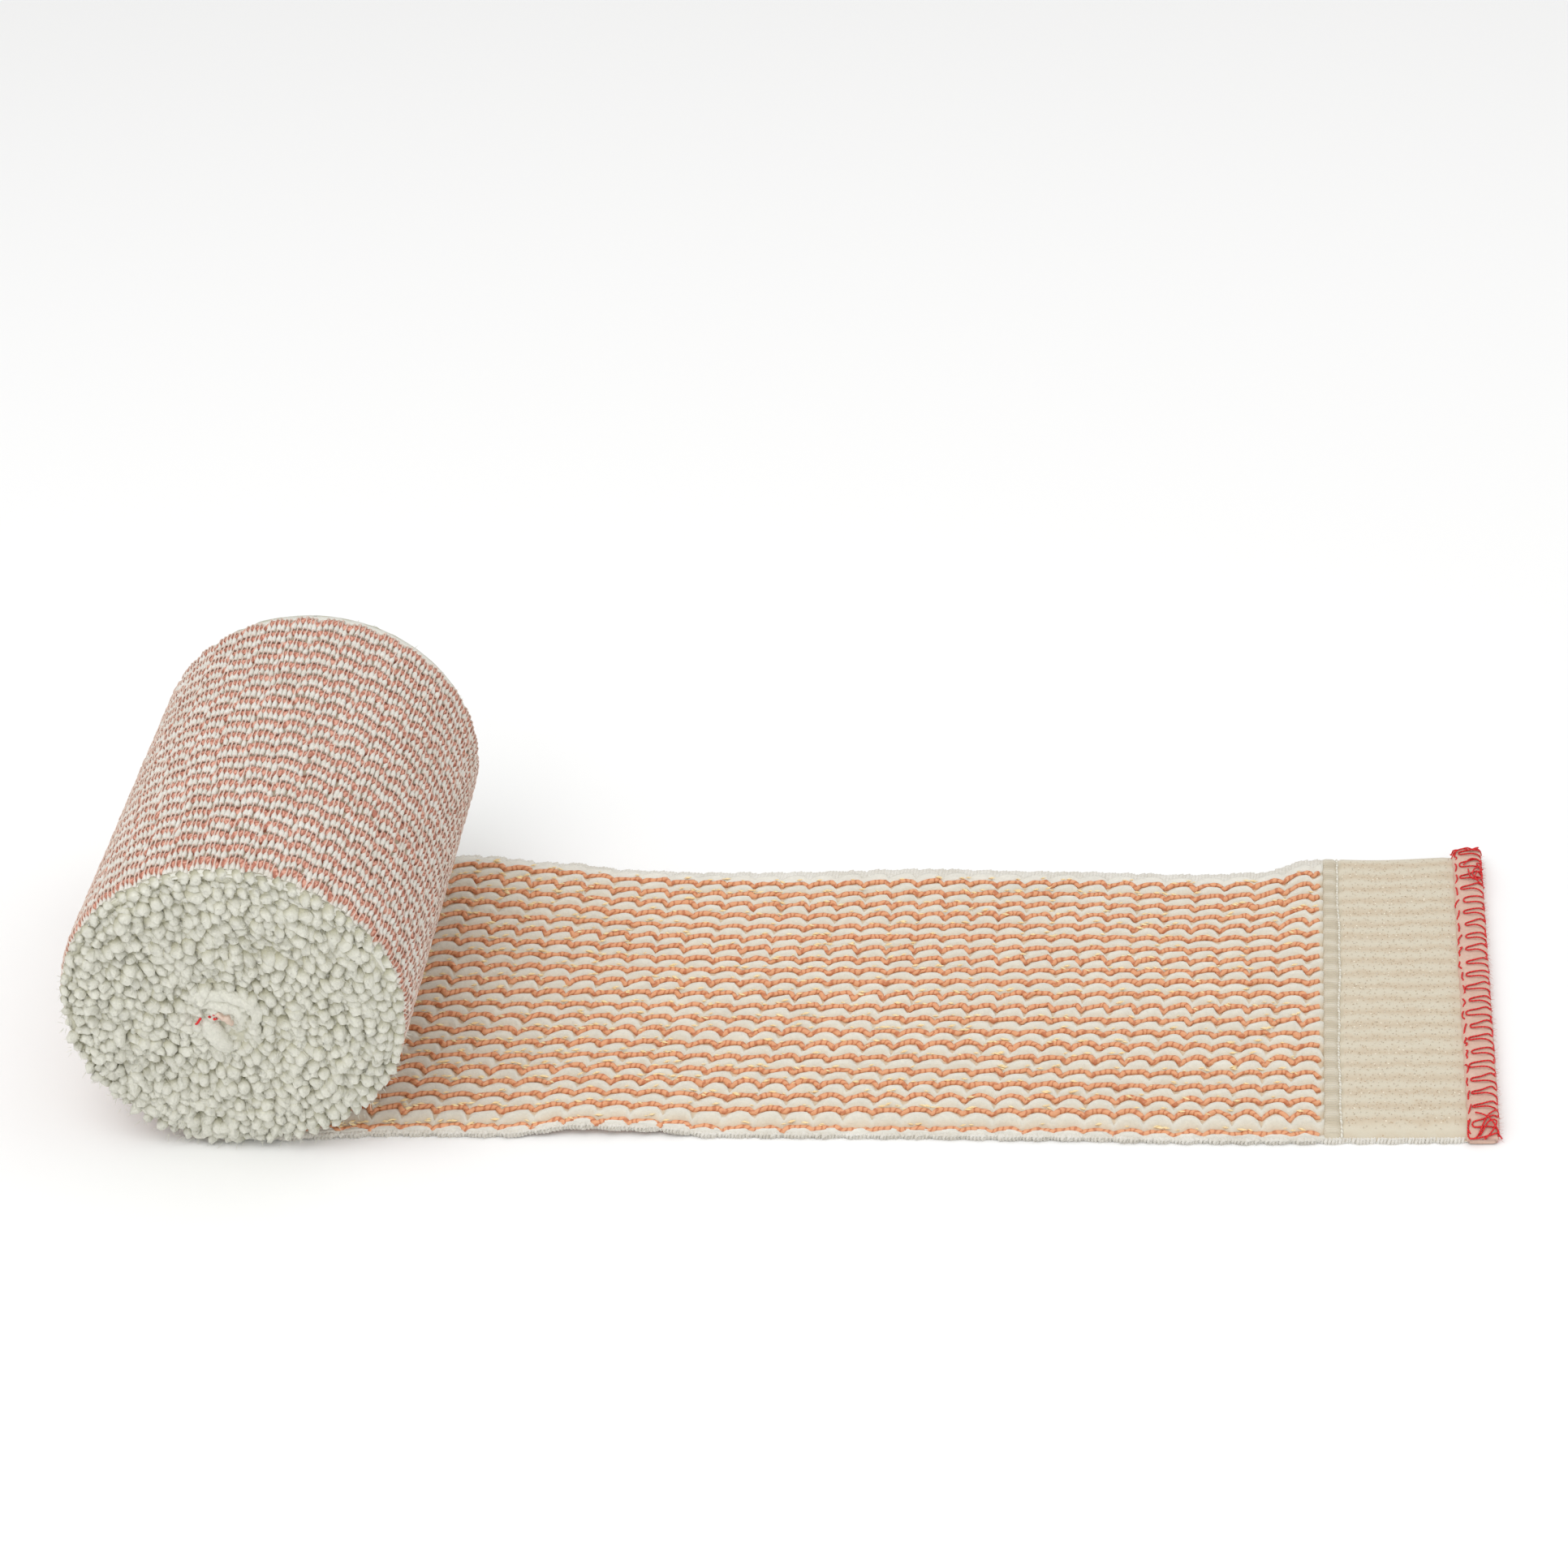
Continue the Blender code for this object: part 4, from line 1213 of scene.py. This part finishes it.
loose = {
    "corner_bar": ((0.05, -1.10, 0.0006), (0.25, -0.6, 0.0006), (0.15, 0.0, 0.0007), (0.30, 0.5, 0.0006),
                   (0.05, 1.05, 0.0002)),
    "corner_bar_crossed": ((0.35, -1.0, 0.0004), (0.15, -0.3, 0.0005), (0.30, 0.2, 0.0006),
                           (-0.05, 0.8, 0.0004)),
    "far_loop": ((1.45, -0.3, 0.0003), (1.10, 0.2, 0.0007), (1.15, 0.8, 0.0006), (1.50, 0.9, 0.0005),
                 (2.00, 0.4, 0.0007), (2.45, 0.3, 0.0006), (2.55, 0.8, 0.0005), (2.10, 1.0, 0.0004),
                 (1.50, 0.6, 0.0007), (1.30, 1.1, 0.0003)),
    "far_tangle": ((1.90, 0.0, 0.0005), (2.60, 0.1, 0.0007), (2.90, 0.5, 0.0009), (2.50, 0.95, 0.0006),
                   (2.20, 0.7, 0.0009), (2.70, 0.4, 0.0009), (3.10, 0.8, 0.0006), (2.80, 1.1, 0.0003)),
    "near_bar": ((21.2, -0.92, 0.0002), (21.98, -0.85, 0.0002), (22.05, -0.3, 0.0003), (21.9, 0.4, 0.0004),
                 (21.7, 0.98, 0.0003)),
    "near_cross": ((20.6, 0.9, 0.0004), (21.2, 0.2, 0.0006), (21.9, -0.3, 0.0004), (22.1, -0.6, 0.0002)),
    "near_cross_back": ((20.9, -0.5, 0.0004), (21.3, 0.4, 0.0008), (21.7, 1.0, 0.0004), (21.9, 1.2, 0.0002)),
    "near_loop": ((21.9, -0.2, 0.0003), (21.4, 0.3, 0.0006), (21.3, 0.8, 0.0005), (21.6, 0.7, 0.0007),
                  (22.1, 0.1, 0.0002)),
}
for name, stops in loose.items():
    red_piece(name, sewn_path(flowing(stops, 6)))

fringe_count = 260
fringe_thickness = 0.00006
shake = np.random.default_rng(84).uniform(-1, 1, (fringe_count, 5))
step = np.linspace(0, 1, 5)
fringe_paths = []
for number, (a, b, c, d, e) in enumerate(shake):
    stitch = (number + 0.5 + 0.5 * a) / fringe_count * binding_stitches
    reach = 0.97 + (0.22 + 0.16 * b) * step
    lift = 0.0004 * d * step + 0.0002 * e * step ** 2
    fringe_paths.append(sewn_path(np.stack((stitch + 0.25 * c * step ** 2, reach, lift), -1)))
fringe_finish, tree, shader, fibres = cotton_finish("frayed_fringe", (0.86, 0.62, 0.55), (0.80, 0.46, 0.40),
                                                    1500, 0.0001)
fringe = thread_piece("frayed_fringe", np.array(fringe_paths), fringe_thickness * (1.2 - step), 3,
                      fringe_finish)
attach(fringe, "root")

# Core
# The strip's inner end is bound like its outer one and folded in on itself at the middle of the roll.
# Only its pinkish fold and a few ends of red thread show between the tufts.
fold_reach = 0.0023
fold_rise = 0.0018
fold_steps = 60
fold_sides = 16
fold_end = roll_width / 2 - 0.0006
fold_along = np.linspace(-fold_end, fold_end, fold_steps)[:, None]
fold_turn = np.arange(fold_sides)[None] * math.tau / fold_sides
fold_swell = 1 + 0.08 * np.cos(fold_along / 0.0044 * math.tau) + 0.10 * np.cos(2 * fold_turn + 0.6)
fold_close = np.clip((roll_width / 2 - 0.0005 - np.abs(fold_along)) / 0.0016, 0, 1) ** 0.5
fold_x = fold_reach * fold_swell * fold_close * np.cos(fold_turn)
fold_z = fold_rise * fold_swell * fold_close * np.sin(fold_turn)
fold_points = (core_middle + fold_x[..., None] * sideways + fold_along[..., None] * roll_across
               + fold_z[..., None] * upward)
fold_faces = grid_faces(fold_steps, fold_sides, closed=True)
fold_finish, tree, shader, fibres = cotton_finish("core_fold", (0.80, 0.67, 0.57), (0.68, 0.50, 0.40),
                                                  700, 0.0004)
fold = mesh_piece("core_fold", fold_points.reshape(-1, 3), fold_faces, fold_finish)
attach(fold, "root")
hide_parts("core_overlock")

core_lips = {
    # sideways, upward and outward place of each soft lip's stops and its half width, in millimetres
    "outer_lip": ((-5.4, 4.0, -0.6, 0.7), (-3.6, 6.2, 0.4, 1.2), (0.3, 6.9, 0.6, 1.3), (4.6, 6.2, 0.6, 1.3),
                  (7.2, 4.2, 0.5, 1.2), (7.2, 1.6, 0.3, 1.0), (4.9, 0.0, -0.4, 0.6)),
    "inner_lip": ((-3.6, 3.0, -0.3, 0.7), (-2.2, 4.5, 0.4, 1.1), (0.8, 4.9, 0.7, 1.3), (3.8, 4.0, 0.7, 1.3),
                  (4.9, 2.2, 0.5, 1.2), (3.9, 0.5, -0.3, 0.7)),
    "peach_lip": ((-1.6, 2.6, 0.5, 0.5), (0.4, 3.0, 0.9, 0.8), (2.2, 2.0, 0.8, 0.8), (2.9, 0.2, 0.2, 0.5)),
    "tongue": ((-2.2, 1.4, 0.0, 1.2), (-1.4, 0.4, 0.6, 1.8), (-0.4, -1.8, 0.7, 2.0), (1.0, -3.8, 0.4, 1.9),
               (2.4, -5.4, -0.5, 1.3)),
}
lip_sides = 16
lip_fray = 0.0018
lip_grain = 600.0


def core_path(line, side):
    """A line of stops round the core, set on one end of the roll."""
    outward = roll_across * side * (roll_width / 2 + line[:, 2:3])
    return core_middle + line[:, :1] * sideways + line[:, 1:2] * upward + outward


for lip_name, stops in core_lips.items():
    line = flowing(np.array(stops) / 1000, 9)
    # Except the peach lip, the lips take the tufts' painted light and shade, near its light end.
    finish = fold_finish if lip_name == "peach_lip" else tuft_finish
    for side_name, side in (("near", -1), ("far", 1)):
        lip = thread_piece(f"core_{lip_name}_{side_name}", core_path(line, side)[None], line[None, :, 3],
                           lip_sides, finish, {"tip": 0.9}, fray=lip_fray, grain=lip_grain)
        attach(lip, "root")

core_ends = (
    # sideways, upward and outward place of each thread's stops, in millimetres from the fold's middle
    ((-3.7, 0.6, 1.2), (-3.2, 1.4, 2.0), (-2.5, 2.4, 1.8)),
    ((-1.2, 2.3, 1.1), (-0.9, 2.7, 1.7), (-0.7, 2.2, 1.1)),
    ((-0.4, 2.9, 1.1), (-0.1, 3.3, 1.8), (0.1, 2.8, 1.1)),
    ((-0.3, 2.0, 1.1), (0.0, 2.3, 1.8), (0.3, 2.0, 1.1)),
    ((0.6, 2.9, 1.1), (0.8, 3.1, 1.7), (1.0, 2.7, 1.1)),
)
for number, stops in enumerate(core_ends):
    line = flowing(np.array(stops) / 1000, 5)
    for side_name, side in (("near", -1), ("far", 1)):
        piece = red_thread(f"core_thread_{side_name}_{number}", core_path(line, side),
                           core_thread_thickness, 6)
        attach(piece, "root")

bpy.context.view_layer.update()
